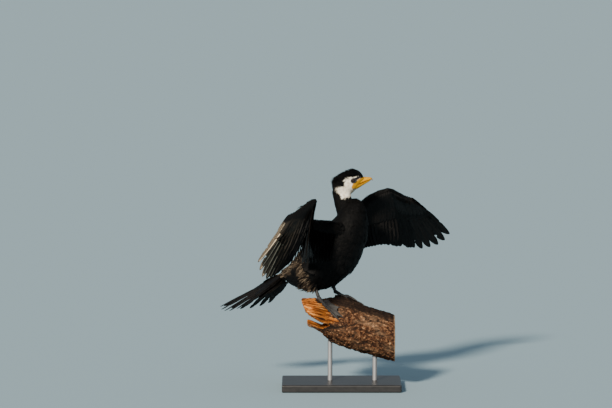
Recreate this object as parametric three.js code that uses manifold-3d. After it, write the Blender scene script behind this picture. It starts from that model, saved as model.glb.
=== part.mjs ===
// A little shag drying its wings on a short length of broken log, life size, on a plain display stand.
// Millimetres, +Z up. The bird faces +X and its left side is +Y. All the bird's own places are measured
// from the spot on the log's top between its feet, and the last group carries them up onto the stand.

import * as THREE from 'three';
import { RoundedBoxGeometry } from 'three/addons/geometries/RoundedBoxGeometry.js';
import { mergeVertices } from 'three/addons/utils/BufferGeometryUtils.js';
import Module from 'manifold-3d';

const wasm = await Module();
wasm.setup();

// Driving dimensions

const GAP = 0.3;                    // air between two nodes that touch
const PERCH_HEIGHT = 186;           // floor to the spot between the feet
const LOG_HEADING = 30;             // degrees from the bird's forward line to the log's run
const LOG_SLOPE = -0.276;           // rise of the log's centre line for each millimetre of run

// Body stations from the tail to the top of the breast: x, z, half width, half depth.
const BODY = [
  [-112, 46, 15, 12],
  [-98, 49, 24, 20],
  [-80, 51, 36, 31],
  [-50, 60, 50, 46],
  [-20, 78, 56, 55],
  [8, 101, 57, 56],
  [28, 128, 54, 50],
  [44, 153, 47, 42],
  [52, 177, 38, 33],
  [55, 198, 27, 25],
  [55, 213, 14, 14],
  [55, 218, 4, 4],
];
// Neck stations from inside the breast up into the head: x, y, z, half width, half depth.
const NECK = [
  [38, 0, 178, 19, 20],
  [32, 0, 196, 18, 20],
  [28, 0, 213, 18, 20],
  [26, 1, 228, 18, 21],
  [28, 3, 242, 17, 19],
  [31, 5, 252, 8, 9],
];
const NECK_TOP = 226;               // height of the joint between neck and head

// The head's own frame has its origin between the eyes, x towards the bill and z over the crown.
const HEAD_AT = [43, 13.5, 253];
const HEAD_YAW = 43;                // degrees turned to the bird's left
const HEAD_PITCH = 15;              // degrees raised
// Head stations from nape to forehead: x, top, bottom, half width.
const HEAD = [
  [-43, -1, -12, 4],
  [-39.5, 8.5, -20, 13],
  [-29, 16.5, -26, 17.5],
  [-14, 21.3, -25, 18],
  [0, 22.7, -20, 15.5],
  [10, 21.3, -14.2, 12.8],
  [17, 16.6, -10, 9.6],
  [21.5, 9.8, -8, 6.4],
  [23.8, 3.5, -5, 3],
];
// Upper bill stations: x, ridge, cutting edge, half width.
const UPPER_BILL = [
  [-8, -8, -12.6, 10],
  [4, 1, -11.4, 9],
  [14, 4, -10.6, 7.6],
  [22, 1.6, -9.8, 5.8],
  [30, -1.2, -9.1, 4.6],
  [36, -3.2, -8.9, 3.8],
  [39.5, -4.8, -9.6, 2.9],
  [41.6, -6.6, -11.6, 1.9],
  [42.4, -9.4, -13.2, 0.8],
];
// Lower bill and throat skin stations: x, underside, cutting edge, half width.
const LOWER_BILL = [
  [-9, -17, -13.4, 8],
  [-2, -21, -12.4, 10.5],
  [8, -19.6, -11.5, 8.8],
  [18, -16.8, -10.7, 6.4],
  [28, -14.2, -9.7, 4.5],
  [35, -12.4, -9.4, 3.1],
  [38.6, -11, -9.9, 1.3],
];
const EYE_RADIUS = 4.7;
const EYE_SIDE = 12.4;              // from the head's middle to the eye's centre

// The log: run along its length, half height, half width across.
const LOG = [
  [-66, 30, 40],
  [-45, 34, 44],
  [-22, 40, 47],
  [8, 47, 49],
  [50, 50.5, 49.5],
  [92, 50, 49],
  [134, 49.5, 48],
];
const LOG_AXIS_Z = -43.3;           // height of the log's centre line under the bird
const KNOB = { run: 27, angle: -18, length: 26, spread: 26, height: 12 };

// Wing skeleton of the left wing. The right one is its mirror image apart from the hand.
const SHOULDER = [43, 41, 157];
const ELBOW = [-8, 107, 170];
const WRIST = [50, 160, 221];
const FAN_CENTRE = [49, 169, 223];  // where the lines of the primaries meet
const HAND_LEFT = [20, 62, -25];
const HAND_RIGHT = [-21, 59, -27];
// Distance from the fan's centre to each primary's tip, innermost first.
const PRIMARY_REACH = [150, 160, 172, 185, 198, 212, 226, 236, 238, 238];
const FAN_LEFT = [33.5, 43, 52.8, 62.5];   // degrees from straight down, innermost to outermost
const FAN_RIGHT = [33.5, 41, 49, 62.3];
const ARM_BOW = 7;
const SPREAD_SHARE = 0.35;          // share of the secondaries that fan towards the primaries
const SECONDARIES = 9;
const SECONDARY_LENGTH = [118, 98, 84];    // at the wrist, the middle and the elbow
const HUMERALS = 4;
const HUMERAL_LENGTH = [84, 74];

// Tail feathers from the middle pair outwards.
const TAIL_LENGTHS = [163, 158, 150, 138, 122, 105];
const TAIL_ROOT = [-112, 0, 46];
const TAIL_LINE = [-0.894, -0.12, -0.43];
const TAIL_HALF_FAN = 39;

const LEGS = {
  right: { side: -1, foot: [-9, -35, 6.5], heel: [-25, -33, 40] },
  left: { side: 1, foot: [-9, 35, 13.8], heel: [-26, 33, 50] },
};

// Vectors, curves and solids

const rad = THREE.MathUtils.degToRad;
const V = (x, y, z) => new THREE.Vector3(x, y, z);
const vec = (p) => new THREE.Vector3(p[0], p[1], p[2]);
const along = (a, b, t) => a.clone().lerp(b, t);

// Value at t from 0 to 1 on a smooth line through evenly spaced values.
function smooth(values, t) {
  const curve = new THREE.CatmullRomCurve3(values.map((v, i) => V(i, v, 0)));
  const last = values.length - 1;
  const i = Math.min(Math.floor(t * last), last - 1);
  return curve.getPoint((i + t * last - i) / last).y;
}

// Stations refined to a given count by a smooth curve through each column.
function refine(stations, count) {
  const columns = stations[0].length;
  const rows = [];
  for (let i = 0; i < count; i += 1) {
    const t = i / (count - 1);
    const row = [];
    for (let c = 0; c < columns; c += 1) {
      row.push(smooth(stations.map((s) => s[c]), t));
    }
    rows.push(row);
  }
  return rows;
}

// A closed solid from faces that all point out or all point in.
function solid(points, faces) {
  let volume = 0;
  for (const [a, b, c] of faces) {
    volume += points[a].dot(points[b].clone().cross(points[c]));
  }
  const turned = volume > 0 ? faces : faces.map(([a, b, c]) => [a, c, b]);
  return new wasm.Manifold(new wasm.Mesh({
    numProp: 3,
    vertProperties: new Float32Array(points.flatMap((p) => [p.x, p.y, p.z])),
    triVerts: new Uint32Array(turned.flat()),
  }));
}

// Skin over a row of rings with the same number of points. Thin rings of four points are plates, whose
// two broad faces are split alike.
function loft(rings) {
  const sides = rings[0].length;
  const points = rings.flat();
  const faces = [];
  for (let i = 0; i + 1 < rings.length; i += 1) {
    for (let j = 0; j < sides; j += 1) {
      const a = i * sides + j;
      const b = i * sides + ((j + 1) % sides);
      const c = a + sides;
      const d = b + sides;
      if (sides === 4 && j === 2) {
        faces.push([a, b, c], [b, d, c]);
      } else {
        faces.push([a, b, d], [a, d, c]);
      }
    }
  }
  for (const [ring, start] of [[rings[0], 0], [rings[rings.length - 1], points.length - sides]]) {
    const first = start === 0;
    if (sides === 4) {
      faces.push(first ? [2, 1, 0] : [start, start + 1, start + 2]);
      faces.push(first ? [3, 2, 0] : [start, start + 2, start + 3]);
      continue;
    }
    const middle = V(0, 0, 0);
    ring.forEach((p) => middle.add(p));
    points.push(middle.divideScalar(sides));
    const hub = points.length - 1;
    for (let j = 0; j < sides; j += 1) {
      const a = start + j;
      const b = start + ((j + 1) % sides);
      faces.push(first ? [hub, b, a] : [hub, a, b]);
    }
  }
  return solid(points, faces);
}

// Closed sheet between an upper and a lower grid of points with the same rows and columns, split alike.
function sheet(over, under) {
  const rows = over.length;
  const columns = over[0].length;
  const low = rows * columns;
  const faces = [];
  for (let i = 0; i + 1 < rows; i += 1) {
    for (let j = 0; j + 1 < columns; j += 1) {
      const a = i * columns + j;
      const c = a + columns;
      faces.push([a, a + 1, c + 1], [a, c + 1, c]);
      faces.push([low + a, low + c + 1, low + a + 1], [low + a, low + c, low + c + 1]);
    }
  }
  const across = [...Array(columns).keys()];
  const down = [...Array(rows).keys()].slice(1, -1);
  const rim = [
    ...across,
    ...down.map((i) => i * columns + columns - 1),
    ...across.map((j) => rows * columns - 1 - j),
    ...down.reverse().map((i) => i * columns),
  ];
  rim.forEach((a, k) => {
    const b = rim[(k + 1) % rim.length];
    faces.push([a, low + b, b], [a, low + a, low + b]);
  });
  return solid([...over.flat(), ...under.flat()], faces);
}

// Oval ring of points about a centre, between two directions.
function oval(centre, sideways, upwards, width, height, sides) {
  const ring = [];
  for (let j = 0; j < sides; j += 1) {
    const a = (j / sides) * Math.PI * 2;
    ring.push(centre.clone()
      .addScaledVector(sideways, Math.cos(a) * width)
      .addScaledVector(upwards, Math.sin(a) * height));
  }
  return ring;
}

// Oval tube through points, each with a half width along `flat` and a half height square to it.
function limb(points, widths, heights, flat, sides) {
  const curve = new THREE.CatmullRomCurve3(points);
  const steps = points.length - 1;
  const rings = points.map((p, i) => {
    const way = curve.getTangent(i / steps);
    const upwards = way.clone().cross(flat).normalize();
    const sideways = upwards.clone().cross(way).normalize();
    return oval(p, sideways, upwards, widths[i], heights[i], sides);
  });
  return loft(rings);
}

function solidOf(geometry) {
  const bare = geometry.clone();
  bare.deleteAttribute('normal');
  bare.deleteAttribute('uv');
  const merged = mergeVertices(bare, 1e-4);
  return new wasm.Manifold(new wasm.Mesh({
    numProp: 3,
    vertProperties: new Float32Array(merged.attributes.position.array),
    triVerts: new Uint32Array(merged.index.array),
  }));
}

function join(parts) {
  return parts.reduce((whole, part) => whole.add(part));
}

// The faces of a solid's largest closed surface, without loose scraps and sealed hollows.
function largestSurface({ numProp, vertProperties, triVerts }) {
  const parent = Array.from({ length: vertProperties.length / numProp }, (_, i) => i);
  const find = (i) => {
    let top = i;
    while (parent[top] !== top) {
      parent[top] = parent[parent[top]];
      top = parent[top];
    }
    return top;
  };
  const corner = (i) => V(...vertProperties.subarray(i * numProp, i * numProp + 3));
  const triangles = [];
  for (let i = 0; i < triVerts.length; i += 3) {
    const [a, b, c] = triVerts.subarray(i, i + 3);
    parent[find(a)] = find(b);
    parent[find(b)] = find(c);
    triangles.push([a, b, c]);
  }
  const volumes = new Map();
  for (const [a, b, c] of triangles) {
    const piece = find(a);
    const share = corner(a).dot(corner(b).cross(corner(c)));
    volumes.set(piece, (volumes.get(piece) ?? 0) + share);
  }
  const [best] = [...volumes.entries()].sort((p, q) => q[1] - p[1])[0];
  return triangles.filter(([a]) => find(a) === best);
}

// Materials

const finish = (color, roughness, metalness = 0) => (
  new THREE.MeshStandardMaterial({ color, roughness, metalness })
);
const PLUMAGE = finish(0x12110f, 0.7);
const WING_BLACK = finish(0x171512, 0.55);
const FACE_BLACK = finish(0x1b1916, 0.8);
const BILL_YELLOW = finish(0xe0a012, 0.45);
const EYE_BROWN = finish(0x1a0f08, 0.1);
const LEG_BLACK = finish(0x1c1916, 0.6);
const BARK = finish(0x6b4a31, 0.9);
const STAND_BLACK = finish(0x2a2a2b, 0.5);
const STAND_STEEL = finish(0x8a8d90, 0.35, 1);

const bird = new THREE.Group();

// A solid's surface with its corners snapped to a fine grid and the faces that close up left out.
const GRID = 100;                   // steps in a millimetre
const THIN = 0.012;                 // a face lower than this is turned into its neighbour

function welded(mesh) {
  const { numProp, vertProperties } = mesh;
  const seen = new Map();
  const points = [];
  const renumber = [];
  for (let i = 0; i < vertProperties.length; i += numProp) {
    const snapped = [0, 1, 2].map((c) => Math.round(vertProperties[i + c] * GRID) / GRID);
    const key = snapped.join(' ');
    if (!seen.has(key)) {
      seen.set(key, points.length);
      points.push(snapped);
    }
    renumber.push(seen.get(key));
  }
  const faces = [];
  for (const triangle of largestSurface(mesh)) {
    const [a, b, c] = triangle.map((k) => renumber[k]);
    if (a !== b && b !== c && c !== a) {
      faces.push([a, b, c]);
    }
  }
  const geometry = new THREE.BufferGeometry();
  geometry.setAttribute('position', new THREE.Float32BufferAttribute(points.flat(), 3));
  geometry.setIndex(withoutNeedles(points.map(vec), faces).flat());
  return geometry;
}

// Where a face is a needle, its longest edge is turned to the far corner of the face beyond it.
function withoutNeedles(points, faces) {
  const key = (a, b) => (a < b ? `${a} ${b}` : `${b} ${a}`);
  const height = ([a, b, c]) => {
    const [p, q, r] = [points[a], points[b], points[c]];
    const area = q.clone().sub(p).cross(r.clone().sub(p)).length();
    return area / Math.max(p.distanceTo(q), q.distanceTo(r), r.distanceTo(p));
  };
  let turned = true;
  for (let pass = 0; turned && pass < 12; pass += 1) {
    turned = false;
    const beside = new Map();
    faces.forEach((face, i) => {
      for (let k = 0; k < 3; k += 1) {
        const edge = key(face[k], face[(k + 1) % 3]);
        beside.set(edge, [...(beside.get(edge) ?? []), i]);
      }
    });
    const touched = new Set();
    for (let i = 0; i < faces.length; i += 1) {
      const low = height(faces[i]);
      if (low >= THIN || touched.has(i)) {
        continue;
      }
      const sides = [0, 1, 2].map((k) => points[faces[i][k]].distanceTo(points[faces[i][(k + 1) % 3]]));
      const k = sides.indexOf(Math.max(...sides));
      const [a, b, c] = [0, 1, 2].map((n) => faces[i][(k + n) % 3]);
      const j = beside.get(key(a, b)).find((n) => n !== i);
      if (j === undefined || touched.has(j) || !faces[j].includes(a) || !faces[j].includes(b)) {
        continue;
      }
      const d = faces[j].find((n) => n !== a && n !== b);
      const made = [[a, d, c], [d, b, c]];
      if (d === c || beside.has(key(c, d)) || Math.min(...made.map(height)) <= low) {
        continue;
      }
      [faces[i], faces[j]] = made;
      beside.set(key(c, d), [i, j]);
      touched.add(i).add(j);
      turned = true;
    }
  }
  return faces;
}

function place(name, shape, material) {
  const geometry = welded(shape.getMesh());
  geometry.computeVertexNormals();
  const mesh = new THREE.Mesh(geometry, material);
  mesh.name = name;
  bird.add(mesh);
}

// Feathers

// A flat vane from its root to its tip. `face` is the side that shows from above, and the edge on the
// side of `outer` is lifted towards it so that each vane slides under the next.
function vane(root, tip, face, outer, width, shape) {
  const { widths, stops, lead = 0.45, thick = 0.9, roll = 8, bow = 0.02 } = shape;
  const shaft = tip.clone().sub(root);
  const length = shaft.length();
  const way = shaft.clone().normalize();
  let across = outer.clone().addScaledVector(way, -outer.dot(way)).normalize();
  const top = across.clone().cross(way).normalize();
  if (top.dot(face) < 0) {
    top.negate();
  }
  across = across.multiplyScalar(Math.cos(rad(roll))).addScaledVector(top, Math.sin(rad(roll)));
  const normal = top.clone().addScaledVector(across, -top.dot(across)).normalize();
  const rings = stops.map((t, i) => {
    const middle = along(root, tip, t).addScaledVector(normal, Math.sin(Math.PI * t) * bow * length);
    const half = thick * (1 - 0.4 * t) / 2;
    const out = across.clone().multiplyScalar(width * widths[i] * lead);
    const back = across.clone().multiplyScalar(-width * widths[i] * (1 - lead));
    return [
      middle.clone().add(out).addScaledVector(normal, half),
      middle.clone().add(back).addScaledVector(normal, half),
      middle.clone().add(back).addScaledVector(normal, -half),
      middle.clone().add(out).addScaledVector(normal, -half),
    ];
  });
  return loft(rings);
}

// Torso

function torsoSolid(extra) {
  const rows = refine(BODY, 23);
  const rings = rows.map(([x, z, width, depth], i) => {
    const before = rows[Math.max(i - 1, 0)];
    const after = rows[Math.min(i + 1, rows.length - 1)];
    const way = V(after[0] - before[0], 0, after[1] - before[1]).normalize();
    const up = V(-way.z, 0, way.x);
    const end = i === 0 || i === rows.length - 1 ? Math.sign(i - 1) * extra : 0;
    const centre = V(x, 0, z).addScaledVector(way, end);
    return oval(centre, V(0, 1, 0), up, width + extra, depth + extra, 22);
  });
  return loft(rings);
}

const torso = torsoSolid(0);
const torsoClear = torsoSolid(GAP);
place('torso', torso, PLUMAGE);

// Neck and head, made as one and parted by a level cut

const headTurn = new THREE.Matrix4()
  .makeRotationZ(rad(HEAD_YAW))
  .multiply(new THREE.Matrix4().makeRotationY(-rad(HEAD_PITCH)));
const headPlace = new THREE.Matrix4().setPosition(vec(HEAD_AT)).multiply(headTurn);
const onHead = (shape) => shape.transform(headPlace.elements);

// Loft of half ovals for a bill: arched away from the cutting edge, flat along it.
function billLoft(stations, count, sides) {
  return loft(refine(stations, count).map(([x, back, edge, width]) => {
    const ring = [];
    for (let j = 0; j < sides; j += 1) {
      const a = (Math.PI * j) / (sides - 1);
      ring.push(V(x, Math.cos(a) * width, edge + Math.sin(a) * (back - edge)));
    }
    return ring;
  }));
}

// Loft of ovals along the head's x from stations of x, top, bottom and half width.
function headLoft(stations, count, sides, extra = 0) {
  const rows = refine(stations, count);
  return loft(rows.map(([x, top, bottom, width], i) => {
    const end = i === 0 ? -extra : (i === count - 1 ? extra : 0);
    const middle = V(x + end, 0, (top + bottom) / 2);
    return oval(middle, V(0, 1, 0), V(0, 0, 1), width + extra, (top - bottom) / 2 + extra, sides);
  }));
}

function neckSolid() {
  const rows = refine(NECK, 12);
  const points = rows.map(([x, y, z]) => V(x, y, z));
  return limb(points, rows.map((r) => r[3]), rows.map((r) => r[4]), V(0, 1, 0), 18);
}

const CREST_LENGTH = 9;
const CREST_RISE = 3.6;
const CREST_VANE = { stops: [0, 0.5, 1], widths: [1, 0.9, 0.15], lead: 0.5, roll: 0, thick: 1, bow: 0 };
const HALF_SPACE = 400;
function level(height, above) {
  const middle = height + (above ? HALF_SPACE / 2 : -HALF_SPACE / 2);
  return solidOf(new THREE.BoxGeometry(HALF_SPACE, HALF_SPACE, HALF_SPACE).translate(0, 0, middle));
}

const skull = onHead(headLoft(HEAD, 15, 16));
const headAndNeck = skull.add(neckSolid());
place('neck', headAndNeck.intersect(level(NECK_TOP - GAP / 2, false)).subtract(torsoClear), PLUMAGE);

function ball(radius, side) {
  return onHead(solidOf(new THREE.SphereGeometry(radius, 12, 8).translate(0, side * EYE_SIDE, 0)));
}
function lid(side) {
  const ring = new THREE.TorusGeometry(EYE_RADIUS + 0.1, 0.95, 5, 12).rotateX(Math.PI / 2);
  return onHead(solidOf(ring.translate(0, side * (EYE_SIDE + 2.6), 0)));
}
let head = headAndNeck.intersect(level(NECK_TOP + GAP / 2, true)).subtract(torsoClear);
for (const side of [-1, 1]) {
  head = head.add(lid(side)).subtract(ball(EYE_RADIUS + GAP, side));
}

// Raised feathers over the crown and down the nape, in rows that lean back
function crest() {
  const tufts = [];
  const rows = refine(HEAD, 12).slice(2, 9);
  rows.forEach(([x, top, bottom, width], i) => {
    const middle = (top + bottom) / 2;
    const count = i % 2 ? 2 : 3;
    for (let k = 0; k < count; k += 1) {
      const angle = rad(90 + (k - (count - 1) / 2) * 34);
      const out = V(0, Math.cos(angle), Math.sin(angle));
      const root = V(x, out.y * width, middle + (out.z * (top - bottom)) / 2).addScaledVector(out, -2.5);
      const tip = root.clone().add(V(-CREST_LENGTH, 0, 0)).addScaledVector(out, CREST_RISE);
      const outer = V(0, Math.sin(angle), -Math.cos(angle));
      tufts.push(onHead(vane(root, tip, out, outer, 8, CREST_VANE)));
    }
  });
  return tufts;
}
head = join([head, ...crest()]);
const gape = new THREE.BoxGeometry(9, 60, 0.8).rotateY(0.12).translate(-9, 0, -13.2);
head = head.subtract(onHead(solidOf(gape)).subtract(onHead(headLoft(HEAD, 15, 16, -0.8))));
place('head', head, FACE_BLACK);
place('eye_left', ball(EYE_RADIUS, 1), EYE_BROWN);
place('eye_right', ball(EYE_RADIUS, -1), EYE_BROWN);

// Bill

const skullClear = onHead(headLoft(HEAD, 15, 16, GAP)).add(neckSolid());
const NOSTRIL_AT = [25, 4.6, -2];
const NOSTRIL_SIZE = [4, 1.2, 0.7];
function nostril(side) {
  const slot = new THREE.BoxGeometry(...NOSTRIL_SIZE).rotateY(0.35);
  return solidOf(slot.translate(NOSTRIL_AT[0], NOSTRIL_AT[1] * side, NOSTRIL_AT[2]));
}
const upperBill = [-1, 1].reduce((bill, side) => bill.subtract(nostril(side)), billLoft(UPPER_BILL, 13, 9));
place('bill_upper', onHead(upperBill).subtract(skullClear), BILL_YELLOW);
place('bill_lower', onHead(billLoft(LOWER_BILL, 11, 9)).subtract(skullClear), BILL_YELLOW);

// Tail

const tailWay = vec(TAIL_LINE).normalize();
const tailSide = V(0, 1, 0).addScaledVector(tailWay, -tailWay.y).normalize();
const tailUp = tailWay.clone().cross(tailSide).normalize();
if (tailUp.z < 0) {
  tailUp.negate();
}
const tailRoot = vec(TAIL_ROOT);
const tailStub = limb(
  [0.5, 14, 30, 44].map((d) => tailRoot.clone().addScaledVector(tailWay, d - 0.2)),
  [15, 17, 15, 9], [12, 8.5, 5, 2], tailSide, 14,
);
const TAIL_VANE = {
  stops: [0, 0.35, 0.7, 0.9, 1],
  widths: [0.6, 1, 0.9, 0.55, 0.1],
  lead: 0.5,
  bow: 0,
  roll: 0,
  thick: 1.1,
};
function tailFeathers() {
  const vanes = [];
  for (const side of [-1, 1]) {
    TAIL_LENGTHS.forEach((length, i) => {
      const fan = side * (i + 0.5) / TAIL_LENGTHS.length;
      const swing = rad(TAIL_HALF_FAN) * fan;
      const droop = -0.45 * Math.sin(Math.abs(swing));
      const way = tailWay.clone().multiplyScalar(Math.cos(swing))
        .addScaledVector(tailSide, Math.sin(swing) * 0.9)
        .addScaledVector(tailUp, droop).normalize();
      const start = tailRoot.clone()
        .addScaledVector(tailWay, 8)
        .addScaledVector(tailSide, fan * 13)
        .addScaledVector(tailUp, 2.2 - i * 1.3);
      const tip = start.clone().addScaledVector(way, length - 8);
      const out = tailSide.clone().multiplyScalar(side).addScaledVector(tailUp, -0.5);
      vanes.push(vane(start, tip, tailUp, out, 13, TAIL_VANE));
    });
  }
  return vanes;
}
place('tail', join([tailStub, ...tailFeathers()]).subtract(torsoClear), WING_BLACK);

// Wings

const PRIMARY = { stops: [0, 0.2, 0.55, 0.85, 1], widths: [0.4, 0.85, 1, 0.75, 0.12], lead: 0.32 };
const SECONDARY = { stops: [0, 0.35, 0.88, 1], widths: [0.5, 0.95, 0.95, 0.4], lead: 0.4 };
const COVERT = { stops: [0, 0.8, 1], widths: [0.8, 1, 0.35], lead: 0.5, thick: 0.8, roll: 5, bow: 0 };

function wing(side) {
  const mirror = (p) => V(p[0], p[1] * side, p[2]);
  const shoulder = mirror(SHOULDER);
  const elbow = mirror(ELBOW);
  const wrist = mirror(WRIST);
  const centre = mirror(FAN_CENTRE);
  const hand = mirror(side > 0 ? HAND_LEFT : HAND_RIGHT);
  const fan = side > 0 ? FAN_LEFT : FAN_RIGHT;
  const handTip = wrist.clone().add(hand);
  const back = V(-1, 0, 0);
  const up = V(0, 0, 1);

  // The leading edge bows up between the elbow and the wrist.
  const armLine = (t) => along(elbow, wrist, t).addScaledVector(up, ARM_BOW * Math.sin(Math.PI * t));
  const humerus = limb(
    [0, 0.35, 0.7, 1.02].map((t) => along(shoulder, elbow, t)),
    [18, 16, 14, 12], [12, 11, 10, 9], up, 12,
  );
  const forearm = limb(
    [-0.08, 0.2, 0.5, 0.8, 1.02].map((t) => armLine(t)),
    [9, 13, 14, 12, 9], [8, 9, 8, 7, 6], up, 12,
  );
  const palm = limb(
    [-0.14, 0.12, 0.45, 0.8, 1.12].map((t) => along(wrist, handTip, t)),
    [7, 10.5, 9.5, 7, 3], [5, 7, 5.5, 4, 1.6], up, 10,
  );
  const parts = [humerus, forearm, palm];

  const handWay = hand.clone().normalize();
  const armWay = wrist.clone().sub(elbow).normalize();
  const primary = (t) => {
    const angle = rad(smooth(fan, t));
    const step = t * (PRIMARY_REACH.length - 1);
    const lean = side > 0 ? Math.max(-0.1, -0.1 + 0.047 * (step - 4)) : -0.1 + 0.1 * t;
    const way = V(lean, Math.sin(angle) * side, -Math.cos(angle)).normalize();
    const root = along(wrist, handTip, 0.05 + 0.95 * t);
    return { root, tip: centre.clone().addScaledVector(way, smooth(PRIMARY_REACH, t)), row: handWay };
  };
  const secondary = (t) => {
    const spread = Math.max(0, 1 - t / SPREAD_SHARE) ** 1.5;
    const way = V(0.12 - 0.14 * t - 0.1 * spread, (0.02 - 0.08 * t + 0.3 * spread) * side, -1).normalize();
    const root = armLine(0.97 - 0.95 * t);
    return { root, tip: root.clone().addScaledVector(way, smooth(SECONDARY_LENGTH, t)), row: armWay };
  };
  const humeral = (t) => {
    const root = along(elbow, shoulder, 0.08 + 0.62 * t);
    const way = V(-0.12, -0.05 * side, -1).normalize();
    return { root, tip: root.clone().addScaledVector(way, smooth(HUMERAL_LENGTH, t)), row: armWay };
  };
  // A row of vanes along the arm. `reach` is the share of the long feather that each one covers, and
  // `rise` how far it lies above it.
  const row = (feather, count, width, shape, reach = 1, rise = 0) => {
    for (let i = 0; i < count; i += 1) {
      const { root, tip, row: outer } = feather(i / (count - 1));
      const lift = outer.clone().cross(tip.clone().sub(root)).normalize();
      if (lift.x > 0) {
        lift.negate();
      }
      const start = root.clone().addScaledVector(lift, rise);
      const end = along(root, tip, reach).addScaledVector(lift, rise);
      parts.push(vane(start, end, back, outer, width, shape));
    }
  };
  row(primary, PRIMARY_REACH.length, 22, PRIMARY);
  row(secondary, SECONDARIES, 23, SECONDARY);
  row(humeral, HUMERALS, 23, SECONDARY);
  row(primary, 6, 16, COVERT, 0.42, 4.6);
  row(secondary, 6, 22, COVERT, 0.52, 4.8);
  row(secondary, 5, 24, COVERT, 0.3, 8);
  return join(parts).subtract(torsoClear);
}

place('wing_left', wing(1), WING_BLACK);
place('wing_right', wing(-1), WING_BLACK);

// The log's shape, by run along it and angle from straight up towards the bird's right

const logWay = V(Math.cos(rad(LOG_HEADING)), Math.sin(rad(LOG_HEADING)), 0);
const logSide = V(Math.sin(rad(LOG_HEADING)), -Math.cos(rad(LOG_HEADING)), 0);
const logCentreZ = (run) => LOG_AXIS_Z + LOG_SLOPE * run;

function logSize(run, column) {
  const i = Math.max(0, Math.min(LOG.length - 2, LOG.findIndex((s) => s[0] > run) - 1));
  const [a, b] = run >= LOG[LOG.length - 1][0] ? LOG.slice(-2) : [LOG[i], LOG[i + 1]];
  const t = THREE.MathUtils.clamp((run - a[0]) / (b[0] - a[0]), 0, 1);
  return THREE.MathUtils.lerp(a[column], b[column], t);
}

function logRadius(run, angle) {
  const s = Math.sin(angle);
  const c = Math.cos(angle);
  const ripple = 1 + 0.018 * Math.sin(3 * angle + run * 0.03) + 0.012 * Math.sin(5 * angle - run * 0.05);
  const trunk = ripple / Math.hypot(s / logSize(run, 2), c / logSize(run, 1));
  const along = (run - KNOB.run) / KNOB.length;
  const round = (THREE.MathUtils.radToDeg(angle) - KNOB.angle) / KNOB.spread;
  return trunk + KNOB.height * Math.exp(-along * along - round * round);
}

function logPoint(run, angle, lift) {
  const reach = logRadius(run, angle) + lift;
  return logWay.clone().multiplyScalar(run)
    .addScaledVector(logSide, Math.sin(angle) * reach)
    .add(V(0, 0, logCentreZ(run) + Math.cos(angle) * reach));
}

const LOG_SIDES = 24;
const LOG_START = LOG[0][0];
const LOG_END = LOG[LOG.length - 1][0];
// The break at the log's left end, as run and height: a long splinter above and a short one below.
const BREAK = [
  [-61, 8], [-61, -1], [-52.5, -21], [-38, -33], [-16, -45], [0, -47.5], [-19, -56], [-50, -45],
  [-48, -51], [-21, -63], [-6, -80], [4, -99], [4, -135], [-90, -135], [-90, 8],
];
const BREAK_DEPTH = 160;            // of the cutting prism, across the whole log

function logSolid(extra) {
  const rings = [];
  const steps = 20;
  for (let i = 0; i <= steps; i += 1) {
    const run = LOG_START + ((LOG_END - LOG_START) * i) / steps;
    const ring = [];
    for (let j = 0; j < LOG_SIDES; j += 1) {
      ring.push(logPoint(run, (j / LOG_SIDES - 0.5) * Math.PI * 2, extra));
    }
    rings.push(ring);
  }
  return loft(rings);
}

function breakCut() {
  const outline = new THREE.Shape(BREAK.map(([run, z]) => new THREE.Vector2(run, z)));
  const prism = new THREE.ExtrudeGeometry(outline, { depth: BREAK_DEPTH, bevelEnabled: false })
    .translate(0, 0, -BREAK_DEPTH / 2);
  const frame = new THREE.Matrix4().makeBasis(logWay, V(0, 0, 1), logSide);
  return solidOf(prism.applyMatrix4(frame));
}

place('perch_log', logSolid(0).subtract(breakCut()), BARK);
const logClear = logSolid(GAP);

// Legs and feet

const HUB_RADIUS = 4.8;
const TOE_RADII = [3, 2.8, 2.5, 2.3];
const FOOT_LIFT = 1.1;
const WEB_TOP = 2.5;
const WEB_SAG = 0.86;               // how far out the web's free edge reaches between two toes
const MM_PER_DEGREE = 0.84;         // on the log's surface
// Toes of a foot on the log: run and angle in degrees where each ends, outermost toe first.
const TOES = {
  right: { root: [-25, 40], ends: [[13, 75], [22, 66], [14, 44], [-6, 24]] },
  left: { root: [9, -36], ends: [[64, -22], [53, -4], [31, 0], [10, -9]] },
};

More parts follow.
